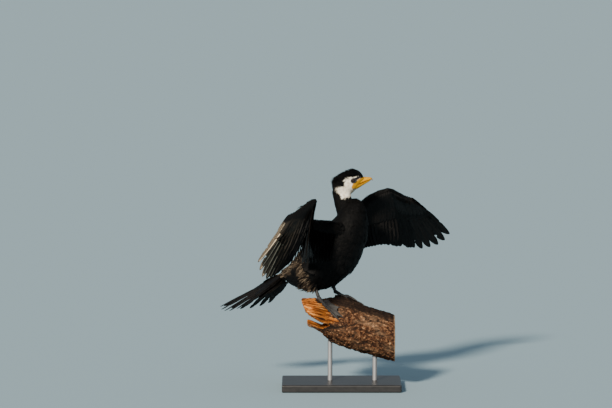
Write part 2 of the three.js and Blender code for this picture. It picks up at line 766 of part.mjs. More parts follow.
function foot(name) {
  const { root, ends } = TOES[name];
  const ankle = vec(LEGS[name].foot);
  const on = (end, t) => [0, 1].map((c) => THREE.MathUtils.lerp(root[c], end[c], t));
  const point = ([run, angle], lift) => logPoint(run, rad(angle), lift);
  const over = [];
  const under = [];
  for (const t of [0.16, 0.35, 0.6, 0.82, 1]) {
    const top = [];
    const sole = [];
    const add = (place, lift) => {
      top.push(point(place, lift));
      sole.push(point(place, FOOT_LIFT));
    };
    ends.forEach((end, i) => {
      const near = ends[i === 3 ? 2 : i + 1];
      const spread = on(end, t).map((v, c) => (on(near, t)[c] - v) * (i === 3 ? -1 : 1));
      const span = Math.hypot(spread[0], spread[1] * MM_PER_DEGREE);
      const half = Math.min(TOE_RADII[i] * (1.1 - 0.45 * t), 0.36 * span) / span;
      const middle = on(end, t);
      const edge = (k) => middle.map((v, c) => v + spread[c] * half * k);
      add(edge(-1), WEB_TOP);
      add(middle, FOOT_LIFT + TOE_RADII[i] * (2 - 0.7 * t));
      add(edge(1), WEB_TOP);
      if (i < 3) {
        add(on(end, t * WEB_SAG).map((v, c) => (v + on(near, t * WEB_SAG)[c]) / 2), WEB_TOP);
      }
    });
    over.push(top);
    under.push(sole);
  }
  const parts = [sheet(over, under), hub(name, 0)];
  ends.forEach((end, i) => {
    const points = [0.9, 1.02, 1.14].map((t, k) => point(on(end, t), [2.4, 2.6, 1][k]));
    const radii = [TOE_RADII[i] * 0.55, TOE_RADII[i] * 0.5, 0.25];
    parts.push(limb(points, radii, radii, V(0.3, 0.2, 1), 5));
  });
  const middle = point(on(ends[1], 0.34), 3.4);
  parts.push(limb([ankle, along(ankle, middle, 0.5), middle], [4.2, 4.6, 3], [4, 3.6, 2.4], V(0, 1, 0.2), 8));
  return join(parts);
}

function hub(name, extra) {
  const ankle = vec(LEGS[name].foot);
  const joint = new THREE.SphereGeometry(HUB_RADIUS + extra, 8, 6);
  return solidOf(joint.translate(ankle.x, ankle.y, ankle.z));
}

function leg(name) {
  const { foot: low, heel } = LEGS[name];
  const ankle = vec(low);
  const top = vec(heel);
  return limb(
    [0, 0.12, 0.5, 0.9, 1.1].map((t) => along(ankle, top, t)),
    [3.2, 3.8, 3.5, 4.4, 3], [3.2, 4, 3.8, 4.8, 3], V(1, 0, 0), 10,
  );
}

function thigh(name, extra) {
  const { foot: low, heel, side } = LEGS[name];
  const top = vec(heel);
  const ankle = vec(low);
  const hip = V(-4, 38 * side, 98);
  const knee = V(-14, 43 * side, 72);
  const hem = along(top, ankle, 0.42);
  hem.addScaledVector(ankle.clone().sub(top).normalize(), extra);
  const points = [hip, knee, along(knee, top, 0.55), along(top, ankle, 0.1), hem];
  const widths = [14, 30, 23, 13, 6].map((w) => w + extra);
  const heights = [8, 20, 17, 12, 6].map((h) => h + extra);
  return limb(points, widths, heights, V(1, 0, 0), 14);
}

for (const name of ['left', 'right']) {
  const footSolid = foot(name);
  const shank = leg(name).subtract(hub(name, GAP)).subtract(torsoClear).subtract(thigh(name, GAP));
  place(`thigh_${name}`, thigh(name, 0).subtract(torsoClear), PLUMAGE);
  place(`leg_${name}`, shank, LEG_BLACK);
  place(`foot_${name}`, footSolid, LEG_BLACK);
}

// Display stand: a flat base and two rods up to the log

const BASE_SIZE = [250, 160, 16];
const BASE_RUN = 22;                // the base's middle along the log's run
const ROD_RADIUS = 5;
const ROD_LENGTH = 120;             // before it is cut off at the log
const ROD_RUNS = [-2, 92];
const baseTop = BASE_SIZE[2] - PERCH_HEIGHT;

function rod(run) {
    const shaft = new THREE.CylinderGeometry(ROD_RADIUS, ROD_RADIUS, ROD_LENGTH, 20).rotateX(Math.PI / 2);
  const at = logWay.clone().multiplyScalar(run);
  shaft.translate(at.x, at.y, baseTop + GAP + ROD_LENGTH / 2);
  return solidOf(shaft).subtract(logClear);
}

const baseMiddle = logWay.clone().multiplyScalar(BASE_RUN).round();
const board = new RoundedBoxGeometry(BASE_SIZE[0], BASE_SIZE[1], BASE_SIZE[2], 2, 3)
  .rotateZ(rad(LOG_HEADING))
  .translate(baseMiddle.x, baseMiddle.y, baseTop - BASE_SIZE[2] / 2);
place('stand_base', solidOf(board), STAND_BLACK);
ROD_RUNS.forEach((run, i) => {
  place(`stand_rod_${i + 1}`, rod(run), STAND_STEEL);
});

bird.position.set(-baseMiddle.x, -baseMiddle.y, PERCH_HEIGHT);
const group = new THREE.Group();
group.add(bird);

export default group;
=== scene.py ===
"""A little shag holding out its wings to dry, perched on a broken log on a plain display stand."""

import math
import random

import bmesh
import bpy
import numpy as np
from mathutils import Matrix, Vector, noise


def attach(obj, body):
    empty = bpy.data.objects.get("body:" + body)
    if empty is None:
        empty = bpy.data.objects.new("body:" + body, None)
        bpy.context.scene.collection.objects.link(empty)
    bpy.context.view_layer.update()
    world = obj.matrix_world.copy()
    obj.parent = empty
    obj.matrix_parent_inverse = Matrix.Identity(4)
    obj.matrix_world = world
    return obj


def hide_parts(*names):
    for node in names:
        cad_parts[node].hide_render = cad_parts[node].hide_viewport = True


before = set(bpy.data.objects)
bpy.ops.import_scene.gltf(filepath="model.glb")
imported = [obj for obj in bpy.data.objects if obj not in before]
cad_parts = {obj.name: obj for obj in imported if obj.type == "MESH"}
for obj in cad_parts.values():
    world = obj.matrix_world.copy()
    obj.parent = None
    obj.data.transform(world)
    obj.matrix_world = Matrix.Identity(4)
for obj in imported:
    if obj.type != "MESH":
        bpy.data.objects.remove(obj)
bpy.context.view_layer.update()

# Camera: almost level with the perch and far off behind a long lens, to the front of the bird's
# right side.
VIEW_CENTRE = Vector((-0.0733, -0.0220, 0.3868))
VIEW_BACK = Vector((0.498, -0.863, 0.087)).normalized()
VIEW_RIGHT = Vector((0.866, 0.5, 0))
VIEW_DISTANCE = 8
LONG_LENS = 224.1
camera_data = bpy.data.cameras.new("camera")
camera_data.lens = LONG_LENS
camera_data.sensor_width = 36
camera_data.clip_end = 300
camera = bpy.data.objects.new("camera", camera_data)
camera.location = VIEW_CENTRE + VIEW_BACK * VIEW_DISTANCE
camera.rotation_euler = (-VIEW_BACK).to_track_quat("-Z", "Y").to_euler()
bpy.context.scene.collection.objects.link(camera)
bpy.context.scene.camera = camera

# Studio: a wide pale matt floor, one soft warm lamp from the front left like low sun, and an even
# pale sky that fills the shadows.


def set_out(name, mesh, *materials):
    """A new object of the mesh with its finishes, in the scene."""
    piece = bpy.data.objects.new(name, mesh)
    for material in materials:
        mesh.materials.append(material)
    bpy.context.scene.collection.objects.link(piece)
    return piece


def node_maker(tree, family=""):
    """A function that adds a node to the tree and sets its options, and sets or links its inputs."""
    def node(kind, inputs=None, **options):
        made = tree.nodes.new(family + kind)
        for key, value in options.items():
            setattr(made, key, value)
        for key, value in (inputs or {}).items():
            if isinstance(value, bpy.types.NodeSocket):
                tree.links.new(value, made.inputs[key])
            else:
                made.inputs[key].default_value = value
        return made

    return node


def finish(name, **settings):
    """A new material, and a maker of its nodes that also holds the tools for its colours and patterns."""
    material = bpy.data.materials.new(name)
    material.use_nodes = True
    tree = material.node_tree
    shader = tree.nodes["Principled BSDF"]
    for key, value in settings.items():
        shader.inputs[key.replace("_", " ")].default_value = value
    node = node_maker(tree, "ShaderNode")

    def marked(name):
        return node("Attribute", attribute_name=name).outputs["Fac"]

    def places(rotation=(0, 0, 0), scale=(1, 1, 1), kind="POINT"):
        inputs = {"Vector": node("TexCoord").outputs["Object"], "Rotation": rotation, "Scale": scale}
        return node("Mapping", inputs, vector_type=kind).outputs[0]

    def grain(scale, detail, vector=None, **more):
        vector = vector or node("TexCoord").outputs["Object"]
        return node("TexNoise", {"Vector": vector, "Scale": scale, "Detail": detail, **more}).outputs["Fac"]

    def cells(scale, feature="F1"):
        inputs = {"Vector": node("TexCoord").outputs["Object"], "Scale": scale}
        return node("TexVoronoi", inputs, feature=feature).outputs["Distance"]

    def ramp(factor, *stops):
        made = node("ValToRGB", {"Fac": factor})
        elements = made.color_ramp.elements
        while len(elements) < len(stops):
            elements.new(0.5)
        for element, (place, colour) in zip(elements, stops):
            element.position = place
            element.color = (*colour, 1)
        return made.outputs["Color"]

    def mix(factor, a, b):
        return node("Mix", {0: factor, 6: a, 7: b}, data_type="RGBA").outputs[2]

    def maths(operation, a, b=0.5):
        return node("Math", {0: a, 1: b}, operation=operation).outputs[0]

    def bump(height, strength, distance):
        made = node("Bump", {"Height": height, "Strength": strength, "Distance": distance})
        tree.links.new(made.outputs[0], shader.inputs["Normal"])

    def paint(colour):
        tree.links.new(colour, shader.inputs["Base Color"])

    def dull(value):
        tree.links.new(value, shader.inputs["Roughness"])

    for tool in (marked, places, grain, cells, ramp, mix, maths, bump, paint, dull):
        setattr(node, tool.__name__, tool)
    return material, node


def mesh_of(name, form):
    """The form as a mesh."""
    mesh = bpy.data.meshes.new(name)
    form.to_mesh(mesh)
    form.free()
    return mesh


FLOOR_REACH = 90
floor_form = bmesh.new()
bmesh.ops.create_circle(floor_form, cap_ends=True, segments=96, radius=FLOOR_REACH)
floor_finish, node = finish("floor_paint", Base_Color=(0.285, 0.405, 0.465, 1), Roughness=0.9)
floor = set_out("floor", mesh_of("floor", floor_form), floor_finish)

SUN_LEFT = 0.42
SUN_UP = 0.46
sun_data = bpy.data.lights.new("low_sun", "SUN")
sun_data.energy = 6.4
sun_data.angle = math.radians(7)
sun_data.color = (1, 0.9, 0.76)
sun = bpy.data.objects.new("low_sun", sun_data)
sun_from = VIEW_BACK - VIEW_RIGHT * SUN_LEFT + Vector((0, 0, SUN_UP))
sun.rotation_euler = (-sun_from).to_track_quat("-Z", "Y").to_euler()
bpy.context.scene.collection.objects.link(sun)
world = bpy.data.worlds.new("sky")
world.use_nodes = True
sky = world.node_tree.nodes["Background"].inputs
sky["Color"].default_value = (0.68, 0.82, 0.94, 1)
sky["Strength"].default_value = 0.42
bpy.context.scene.world = world

# Display stand: a flat board with rounded edges, lacquered a satin black through which its grain just
# shows, and two brushed steel rods that are screwed into it and into the log.
lacquer, node = finish("stand_lacquer", Roughness=0.38, Specular_IOR_Level=0.4)
BOARD_TURN = (0, 0, -0.52)
grain = node.grain(6, 7, node.places(BOARD_TURN, (2.2, 26, 26)), Distortion=0.8)
node.paint(node.ramp(grain, (0.3, (0.014, 0.013, 0.013)), (0.7, (0.026, 0.024, 0.024))))
node.bump(grain, 0.12, 0.0004)
steel, node = finish("rod_steel", Base_Color=(0.42, 0.42, 0.43, 1), Metallic=1, Roughness=0.34)
brushed = node.grain(4, 2, node.places(scale=(30, 30, 900)))
node.dull(node.maths("MULTIPLY_ADD", brushed, 0.3))
node.bump(brushed, 0.1, 0.0002)
for name, material in (("stand_base", lacquer), ("stand_rod_1", steel), ("stand_rod_2", steel)):
    stand_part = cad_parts[name]
    stand_part.data.materials.clear()
    stand_part.data.materials.append(material)

# Log: a weathered length of driftwood, its bark grey-brown and cracked along the grain, broken off at
# the near end to fresh orange wood in splinters, and sawn square at the far end. It is screwed to the
# two rods. Each station of LOG is a run along it, a half height and a half width in millimetres.
LOG_HEADING = math.radians(30)
LOG_SLOPE = -0.276
LOG_AXIS = -43.3
LOG = [(-66, 30, 40), (-45, 34, 44), (-22, 40, 47), (8, 47, 49), (50, 50.5, 49.5), (92, 50, 49),
       (134, 49.5, 48)]
KNOB_RUN = 27
KNOB_ANGLE = -18
KNOB_SPREAD = 26
KNOB_RISE = 12
LOG_CELL = 0.0016
BARK_DEPTH = 2.4
BIRD = Vector((-19, -11, 186))      # the place on the log between the feet, in millimetres


def at(x, y, z):
    """A place given in millimetres from between the feet, in metres in the frame."""
    return (Vector((x, y, z)) + BIRD) / 1000


def on_bird(mesh):
    """The mesh's points in millimetres from between the feet, one row each."""
    places = np.empty(len(mesh.vertices) * 3)
    mesh.vertices.foreach_get("co", places)
    return places.reshape(-1, 3) * 1000 - np.array(BIRD)


def outward(mesh):
    """The mesh's directions outward at its points, one row each."""
    ways = np.empty(len(mesh.vertices) * 3)
    mesh.vertices.foreach_get("normal", ways)
    return ways.reshape(-1, 3)


def put_back(mesh, places):
    mesh.vertices.foreach_set("co", ((places + np.array(BIRD)) / 1000).ravel())
    mesh.update()


def mark(mesh, name, values):
    """A named value for each point of the mesh, for its finish to read."""
    layer = mesh.attributes.new(name, "FLOAT", "POINT")
    layer.data.foreach_set("value", np.asarray(values, float))


def smooth_step(low, high, x):
    t = np.clip((x - low) / (high - low), 0, 1)
    return t * t * (3 - 2 * t)


def spot(x, x_middle, x_spread, y, y_middle, y_spread):
    """1 in the middle of an oval spot, falling away smoothly round it."""
    return np.exp(-((x - x_middle) / x_spread) ** 2 - ((y - y_middle) / y_spread) ** 2)


def solids(*names):
    """The named parts' solids in one welded form."""
    form = bmesh.new()
    for name in names:
        form.from_mesh(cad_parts[name].data)
    bmesh.ops.remove_doubles(form, verts=form.verts, dist=2e-6)
    return form


def one_skin(name, form, cell, soften=0):
    """One even mesh round everything in the form."""
    rough = set_out(name, mesh_of(name, form))
    remesh = rough.modifiers.new("cells", "REMESH")
    remesh.mode = "VOXEL"
    remesh.voxel_size = cell
    remesh.use_smooth_shade = True
    if soften:
        ease = rough.modifiers.new("ease", "SMOOTH")
        ease.factor = 0.5
        ease.iterations = soften
    seen = rough.evaluated_get(bpy.context.evaluated_depsgraph_get())
    made = bpy.data.meshes.new_from_object(seen)
    bpy.data.meshes.remove(rough.data)
    made.name = name
    return made


def log_depth(places):
    """For each place: its run along the log, its angle round it, and how deep it lies under the bark."""
    run = places[:, 0] * math.cos(LOG_HEADING) + places[:, 1] * math.sin(LOG_HEADING)
    side = places[:, 0] * math.sin(LOG_HEADING) - places[:, 1] * math.cos(LOG_HEADING)
    height = places[:, 2] - LOG_AXIS - LOG_SLOPE * run
    angle = np.arctan2(side, height)
    stops = [s[0] for s in LOG]
    half_height = np.interp(run, stops, [s[1] for s in LOG])
    half_width = np.interp(run, stops, [s[2] for s in LOG])
    ripple = 1 + 0.018 * np.sin(3 * angle + run * 0.03) + 0.012 * np.sin(5 * angle - run * 0.05)
    reach = ripple / np.hypot(np.sin(angle) / half_width, np.cos(angle) / half_height)
    reach += KNOB_RISE * spot(run, KNOB_RUN, KNOB_SPREAD, np.degrees(angle), KNOB_ANGLE, KNOB_SPREAD)
    return run, angle, side, height, reach - np.hypot(side, height)


log_mesh = one_skin("log", solids("perch_log"), LOG_CELL, 2)
places = on_bird(log_mesh)
ways = outward(log_mesh)
run, angle, side, height, depth = log_depth(places)
torn_edge = np.array([noise.noise(Vector((0.4, 1, 1)) * Vector(p) * 0.07) + 0.3 * noise.noise(Vector(p) * 0.3)
                      for p in places])
torn = smooth_step(2, -2, run + 22 + 0.68 * places[:, 2] + 18 * torn_edge)
torn *= smooth_step(-0.35, 0.15, np.sin(angle))
torn *= smooth_step(-49, -43, places[:, 2] + 8 * torn_edge)
bare = np.maximum(smooth_step(1.6, 3.4, depth), torn) * (run < 132)
sawn = smooth_step(131.5, 133.2, run)
rise = np.empty(len(places))
loose = np.empty(len(places))
for i, (r, s, h) in enumerate(zip(run, side, height)):
    if bare[i] > 0.5:
        rise[i] = 2.2 * noise.fractal(Vector((r * 0.022, s * 0.34, h * 0.34)), 0.9, 2, 4)
        loose[i] = 0
        continue
    split = abs(noise.noise(Vector((r * 0.02, s * 0.085, h * 0.085)))) + 0.02
    plate = noise.noise(Vector((r * 0.045 + 7, s * 0.06, h * 0.06)))
    coarse = noise.fractal(Vector((r * 0.15, s * 0.18, h * 0.18)), 1, 2.1, 4)
    rise[i] = 1.3 * coarse - BARK_DEPTH * math.exp(-((split / 0.07) ** 2)) + (0.9 if plate > 0.12 else -0.5)
    loose[i] = plate
rise *= 1 - 0.9 * sawn
put_back(log_mesh, places + ways * rise[:, None])
mark(log_mesh, "bare", bare)
mark(log_mesh, "sawn", sawn)
hollow = spot(run, -8, 17, places[:, 2], -50, 10) * (np.sin(angle) > 0)
mark(log_mesh, "cleft", np.clip(-rise / 2.2, 0, 1) * (1 - torn) + 0.9 * hollow * (1 - torn))
on_knob = spot(run, KNOB_RUN, 30, np.degrees(angle), -10, 34)
mark(log_mesh, "above", np.clip(smooth_step(0.68, 0.88, np.cos(angle) + 0.12 * loose) + 1.5 * on_knob, 0, 1))

bark, node = finish("bark", Roughness=0.9, Specular_IOR_Level=0.12)
LOG_TURN = (0, math.atan(-LOG_SLOPE), LOG_HEADING)


def log_grain(long, across, detail, **more):
    """A pattern of the given length along the log's grain and breadth across it, in metres."""
    return node.grain(1, detail, node.places(LOG_TURN, (long, across, across), "TEXTURE"), **more)


fine = log_grain(0.0052, 0.0046, 7, Roughness=0.72)
blotch = log_grain(0.05, 0.022, 5, Distortion=0.6)
fibre = log_grain(0.05, 0.0032, 6, Distortion=0.4)
crack = log_grain(0.09, 0.007, 3)
bark_colour = node.ramp(fine, (0.41, (0.006, 0.003, 0.002)), (0.49, (0.05, 0.018, 0.008)),
                        (0.56, (0.19, 0.08, 0.033)), (0.65, (0.46, 0.28, 0.155)))
patch_colour = node.ramp(blotch, (0.38, (0.012, 0.006, 0.004)), (0.5, (0.1, 0.045, 0.022)),
                         (0.62, (0.34, 0.22, 0.13)))
bark_colour = node.mix(0.25, bark_colour, patch_colour)
above = node.maths("MULTIPLY", node.marked("above"), 0.9)
bark_colour = node.mix(above, bark_colour, (0.009, 0.006, 0.005, 1))
bark_colour = node.mix(node.marked("cleft"), bark_colour, (0.018, 0.011, 0.008, 1))
wood_colour = node.ramp(fibre, (0.36, (0.06, 0.015, 0.004)), (0.48, (0.3, 0.085, 0.014)),
                        (0.6, (0.56, 0.2, 0.035)), (0.73, (0.8, 0.46, 0.18)))
in_crack = node.ramp(crack, (0.3, (1, 1, 1)), (0.42, (0, 0, 0)))
wood_colour = node.mix(in_crack, wood_colour, (0.03, 0.01, 0.004, 1))
sawn_colour = node.ramp(blotch, (0.35, (0.2, 0.12, 0.065)), (0.65, (0.38, 0.25, 0.14)))
unsawn_colour = node.mix(node.marked("bare"), bark_colour, wood_colour)
node.paint(node.mix(node.marked("sawn"), unsawn_colour, sawn_colour))
node.bump(node.maths("ADD", fine, fibre), 0.8, 0.0016)
log = set_out("log", log_mesh, bark)
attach(log, "root")
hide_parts("perch_log")

# Legs and feet: black scaly skin over bone, with thin dark webs between the four toes of each foot
# and short curved claws of black horn.
leg_skin, node = finish("leg_skin", Roughness=0.6, Specular_IOR_Level=0.25)
scutes = node.cells(620, "DISTANCE_TO_EDGE")
creases = node.grain(240, 6)
creased = node.ramp(creases, (0.3, (0.012, 0.011, 0.011)), (0.7, (0.045, 0.042, 0.04)))
node.paint(node.mix(node.maths("MULTIPLY", scutes, 3), creased, (0.075, 0.07, 0.066, 1)))
node.bump(node.maths("ADD", scutes, creases), 0.7, 0.0005)
for part, cell in (("foot", 0.0007), ("leg", 0.0008)):
    for side in ("left", "right"):
        skin_mesh = one_skin(f"{part}_{side}_skin", solids(f"{part}_{side}"), cell, 3)
        leg_part = set_out(f"{part}_{side}_skin", skin_mesh, leg_skin)
        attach(leg_part, "root")
        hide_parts(f"{part}_{side}")

# Body skin: one unbroken skin over trunk, thighs, neck, head and the flesh of both wings, lying under
# the coat by the coat's depth. It is black, white on the face, throat and front of the neck, and tan on
# the flank. Stations are in millimetres: NECK's from between the feet and HEAD's in the head's frame.
NECK = [(38, 0, 178, 19, 20), (32, 0, 196, 18, 20), (28, 0, 213, 18, 20), (26, 1, 228, 18, 21),
        (28, 3, 242, 17, 19), (31, 5, 252, 8, 9)]
HEAD = [(-43, -1, -12, 4), (-39.5, 8.5, -20, 13), (-29, 16.2, -27, 17.5), (-14, 20.8, -27.5, 18),
        (0, 22.4, -23, 15.5), (10, 22.4, -15.5, 13), (18.5, 17.6, -10, 9.8), (23.5, 10.4, -8, 6.6),
        (25.8, 4, -5, 3)]
HEAD_AT = Vector((43, 13.5, 253))
HEAD_TURN = Matrix.Rotation(math.radians(43), 3, "Z") @ Matrix.Rotation(math.radians(-15), 3, "Y")
SHOULDER, ELBOW, WRIST = (43, 41, 157), (-8, 107, 170), (50, 160, 221)
HAND = {1: (20, 62, -25), -1: (-21, 59, -27)}   # from the wrist to the tip of the left and right hand
ARM_BOW = 7
SKIN_CELL = 0.0014
BODY_LINE = [(-112, 46), (-98, 49), (-80, 51), (-50, 60), (-20, 78), (8, 101), (28, 128), (44, 153),
             (52, 177), (55, 198), (55, 218)]


def on_head(x, y, z):
    """A place in the head's own frame, in millimetres from between the feet."""
    return HEAD_AT + HEAD_TURN @ Vector((x, y, z))


def eased(stations, count):
    """The stations drawn out to the count by smooth curves."""
    rows = np.array(stations, float)
    ends = np.vstack([2 * rows[0] - rows[1], rows, 2 * rows[-1] - rows[-2]])
    made = []
    for t in np.linspace(0, len(rows) - 1, count):
        i = min(int(t), len(rows) - 2)
        f = t - i
        a, b, c, d = ends[i:i + 4]
        squared = 2 * a - 5 * b + 4 * c - d
        cubed = 3 * b - a - 3 * c + d
        made.append(0.5 * (2 * b + (c - a) * f + squared * f * f + cubed * f ** 3))
    return made


def value_at(values, t):
    """The value at t from 0 to 1 on a smooth line through the values."""
    return float(np.interp(t * 60, range(61), [row[0] for row in eased([(v,) for v in values], 61)]))


def oval(centre, sideways, upwards, width, height, sides):
    turns = [2 * math.pi * j / sides for j in range(sides)]
    return [centre + sideways * math.cos(a) * width + upwards * math.sin(a) * height for a in turns]


def loft(form, rings):
    """Adds a closed tube through rings of points in millimetres."""
    loops = [[form.verts.new(at(*point)) for point in ring] for ring in rings]
    for a, b in zip(loops, loops[1:]):
        for j in range(len(a)):
            k = (j + 1) % len(a)
            form.faces.new((a[j], a[k], b[k], b[j]))
    form.faces.new(loops[0][::-1])
    form.faces.new(loops[-1])


def limb(form, points, widths, heights, flat, sides=12):
    """Adds an oval tube through the points, with a half width along flat and a half height square to it."""
    rings = []
    for i, point in enumerate(points):
        way = (points[min(i + 1, len(points) - 1)] - points[max(i - 1, 0)]).normalized()
        upwards = way.cross(flat).normalized()
        rings.append(oval(point, upwards.cross(way).normalized(), upwards, widths[i], heights[i], sides))
    loft(form, rings)


def wing_bones(side):
    """Shoulder, elbow, wrist and hand tip of a wing, and a place along its forearm's upper edge."""
    shoulder, elbow, wrist = (Vector((p[0], p[1] * side, p[2])) for p in (SHOULDER, ELBOW, WRIST))
    hand = Vector(HAND[side])
    hand.y *= side

    def forearm(t):
        return elbow.lerp(wrist, t) + Vector((0, 0, ARM_BOW * math.sin(math.pi * t)))

    return shoulder, elbow, wrist, wrist + hand, forearm


UP = Vector((0, 0, 1))
ACROSS = Vector((0, 1, 0))
flesh = solids("torso", "thigh_left", "thigh_right")
neck = np.array(eased(NECK, 14))
limb(flesh, [Vector(place) for place in neck[:, :3]], neck[:, 3], neck[:, 4], ACROSS, 24)
head_rings = []
for x, top, bottom, width in eased(HEAD, 24):
    middle = on_head(x, 0, (top + bottom) / 2)
    head_rings.append(oval(middle, HEAD_TURN.col[1], HEAD_TURN.col[2], width, (top - bottom) / 2, 28))
loft(flesh, head_rings)
for side in (1, -1):
    shoulder, elbow, wrist, hand_tip, forearm = wing_bones(side)
    upper_arm = [shoulder.lerp(elbow, t) for t in (-0.2, 0.2, 0.6, 1.04)]
    limb(flesh, upper_arm, [19, 16, 13, 10], [12, 11, 10, 8], UP)
    limb(flesh, [forearm(t) for t in (-0.06, 0.2, 0.5, 0.8, 1.03)], [9, 12, 13, 11, 8], [8, 9, 8, 7, 6], UP)
    hand = [wrist.lerp(hand_tip, t) for t in (-0.12, 0.12, 0.45, 0.8, 1)]
    limb(flesh, hand, [6, 9, 8, 6, 3], [5, 6.5, 5, 4, 2], UP)
skin_mesh = one_skin("body_skin", flesh, SKIN_CELL, 8)

places = on_bird(skin_mesh)
ways = outward(skin_mesh)
head_turn = np.array(HEAD_TURN)
on_skull = (places - np.array(HEAD_AT)) @ head_turn
run, aside, rise = places[:, 0], np.abs(places[:, 1]), places[:, 2]
ahead, above = on_skull[:, 0], on_skull[:, 2]
body_line = np.array([(r[0], r[1]) for r in eased(BODY_LINE, 60)])
body_way = np.gradient(body_line, axis=0)
body_way /= np.linalg.norm(body_way, axis=1)[:, None]
nearest = np.argmin(((places[:, None, [0, 2]] - body_line[None]) ** 2).sum(2), axis=1)
tailward = np.stack([-body_way[nearest, 0], np.zeros(len(places)), -body_way[nearest, 1]], 1)


def arm_share(places):
    """How much each place belongs to the wings, from 0 to 1."""
    away = np.full(len(places), 1e9)
    for side in (1, -1):
        bones = [np.array(p) for p in wing_bones(side)[:4]]
        for a, b in zip(bones, bones[1:]):
            t = np.clip(((places - a) @ (b - a)) / ((b - a) @ (b - a)), 0, 1)
            away = np.minimum(away, np.linalg.norm(places - a - t[:, None] * (b - a), axis=1))
    return smooth_step(46, 58, np.abs(places[:, 1])) * (places[:, 2] > 120) * (away < 30)


in_wing = arm_share(places)
in_head = smooth_step(224, 240, rise) * (1 - in_wing) * (aside < 50)
in_neck = smooth_step(184, 206, rise) * (1 - in_wing) * (1 - in_head) * (aside < 40)
in_thigh = smooth_step(54, 34, rise) * smooth_step(-75, -50, run) * (1 - in_wing)
skin_depth = 3.2 - 1.9 * in_head - 1.2 * in_neck - 1.4 * in_wing

# The white of the face and throat ends in a ragged line, and the skin round the eye and before it is dark.
FACE_WHITE = [(17.5, 2.8), (17, 5.4), (4, 7.6), (-4.3, 10.4), (-10, 10.6), (-19.5, 7.4), (-16, 3.5),
              (-19.5, 1), (-18.5, -3), (-24, -5), (-31, -0.5), (-38, 0.5), (-40.5, -1), (-40.5, -6),
              (-37, -10), (-35, -19), (-31.6, -26), (-23, -26), (-10.5, -27), (30, -32), (30, -6), (16, -5)]

# The yellow of the bill runs back on bare skin to below the eye.
GAPE = [(-8.5, -12), (-5, -6.5), (4.9, -1.6), (14.9, 0.6), (26, 0), (26, -12), (4, -17), (-6, -17.5)]

# The sunlit brown of the flank and the side of the rump, as outlines of run and height.
FLANK_TAN = [(-62, 116), (-54, 80), (-37, 47), (-32, 26), (-48, 8), (-61, 14), (-62, 48), (-68, 80)]
RUMP_TAN = [(-62, 116), (-82, 99), (-102, 78), (-116, 52), (-104, 42), (-88, 50), (-76, 64), (-66, 86)]


def inside(outline, x, y):
    """How far inside the outline each place lies, negative outside it."""
    away = np.full(len(x), 1e9)
    crossings = np.zeros(len(x), int)
    for (ax, ay), (bx, by) in zip(outline, outline[1:] + outline[:1]):
        t = np.clip(((x - ax) * (bx - ax) + (y - ay) * (by - ay)) / ((bx - ax) ** 2 + (by - ay) ** 2), 0, 1)
        away = np.minimum(away, np.hypot(x - ax - t * (bx - ax), y - ay - t * (by - ay)))
        over = (ay > y) != (by > y)
        crossings += over & (x < (bx - ax) * (y - ay) / (by - ay if by != ay else 1e-9) + ax)
    return np.where(crossings % 2 == 1, away, -away)


ragged = np.array([noise.noise(Vector(p) * 0.22) + 0.6 * noise.noise(Vector(p) * 0.7) for p in places])
near_head = (rise > 196) & (aside < 45)
white = inside(FACE_WHITE, ahead + ragged * 2.4, above + ragged * 1.8)
white = smooth_step(-0.5, 0.7, white) * near_head
round_eye = np.hypot((ahead - 0.4) / 7.4, (above - 0.4) / 6.4)
lore = np.hypot((ahead - 9) / 9.5, (above - 1.9 - 0.1 * ahead) / 3.2)
dark_skin = np.maximum(smooth_step(1.05, 0.9, round_eye), smooth_step(1.05, 0.85, lore))
dark_skin *= near_head * (ahead > -9) * (rise > 225)
gape = smooth_step(-0.4, 0.5, inside(GAPE, ahead, above)) * near_head
dark_skin *= 1 - gape
white *= 1 - dark_skin
put_back(skin_mesh, places - ways * (skin_depth * (1 - 0.4 * dark_skin) * (1 - 0.7 * gape))[:, None])

# Each stretch of the coat lies its own way: down the neck, back over the head, and down wings and thighs.
over_nape = smooth_step(-16, -34, ahead) * in_head
lie = tailward
for share, way in ((in_neck, (0, 0, -1)), (in_head, -head_turn[:, 0] * 0.9 - head_turn[:, 2] * 0.2),
                   (over_nape, (-0.25, 0, -0.9)), (in_wing, (-0.3, 0, -1)), (in_thigh, (-0.55, 0, -0.85))):
    lie = lie * (1 - share)[:, None] + np.array(way, float) * share[:, None]
lie -= ways * (lie * ways).sum(1)[:, None]
lie /= np.maximum(np.linalg.norm(lie, axis=1), 1e-6)[:, None]
layer = skin_mesh.attributes.new("lie", "FLOAT_VECTOR", "POINT")
layer.data.foreach_set("vector", lie.ravel())
flank_run = 0.866 * run - 0.5 * aside
flank_rise = rise - 0.044 * run - 0.076 * aside
shaggy = np.array([noise.noise(Vector((x * 0.3 + z * 0.16, y * 0.3, z * 0.05))) for x, y, z in places]) * 9
tan = np.maximum(inside(FLANK_TAN, flank_run + shaggy, flank_rise),
                 inside(RUMP_TAN, flank_run + shaggy, flank_rise))
tan = smooth_step(-2.5, 3.5, tan) * (rise < 112)
crown = in_head * smooth_step(6, 14, above) * smooth_step(18, 8, ahead)
growth = 14.5 - 6.5 * in_neck - 5 * in_wing + 1.5 * in_thigh + 2 * tan
at_wrist = np.linalg.norm(np.abs(places) - np.array(WRIST), axis=1)
growth *= 1 - 0.4 * smooth_step(40, 12, at_wrist)
growth = growth * (1 - in_head) + in_head * (5.2 + 3.4 * crown + 2.4 * over_nape * (1 - white)
                                             - 2.2 * smooth_step(-12, 2, ahead) * (1 - crown))
trunk_cover = np.clip(1 - in_head - in_neck - in_wing, 0, 1)
from_front = smooth_step(0, 1, run + 14)
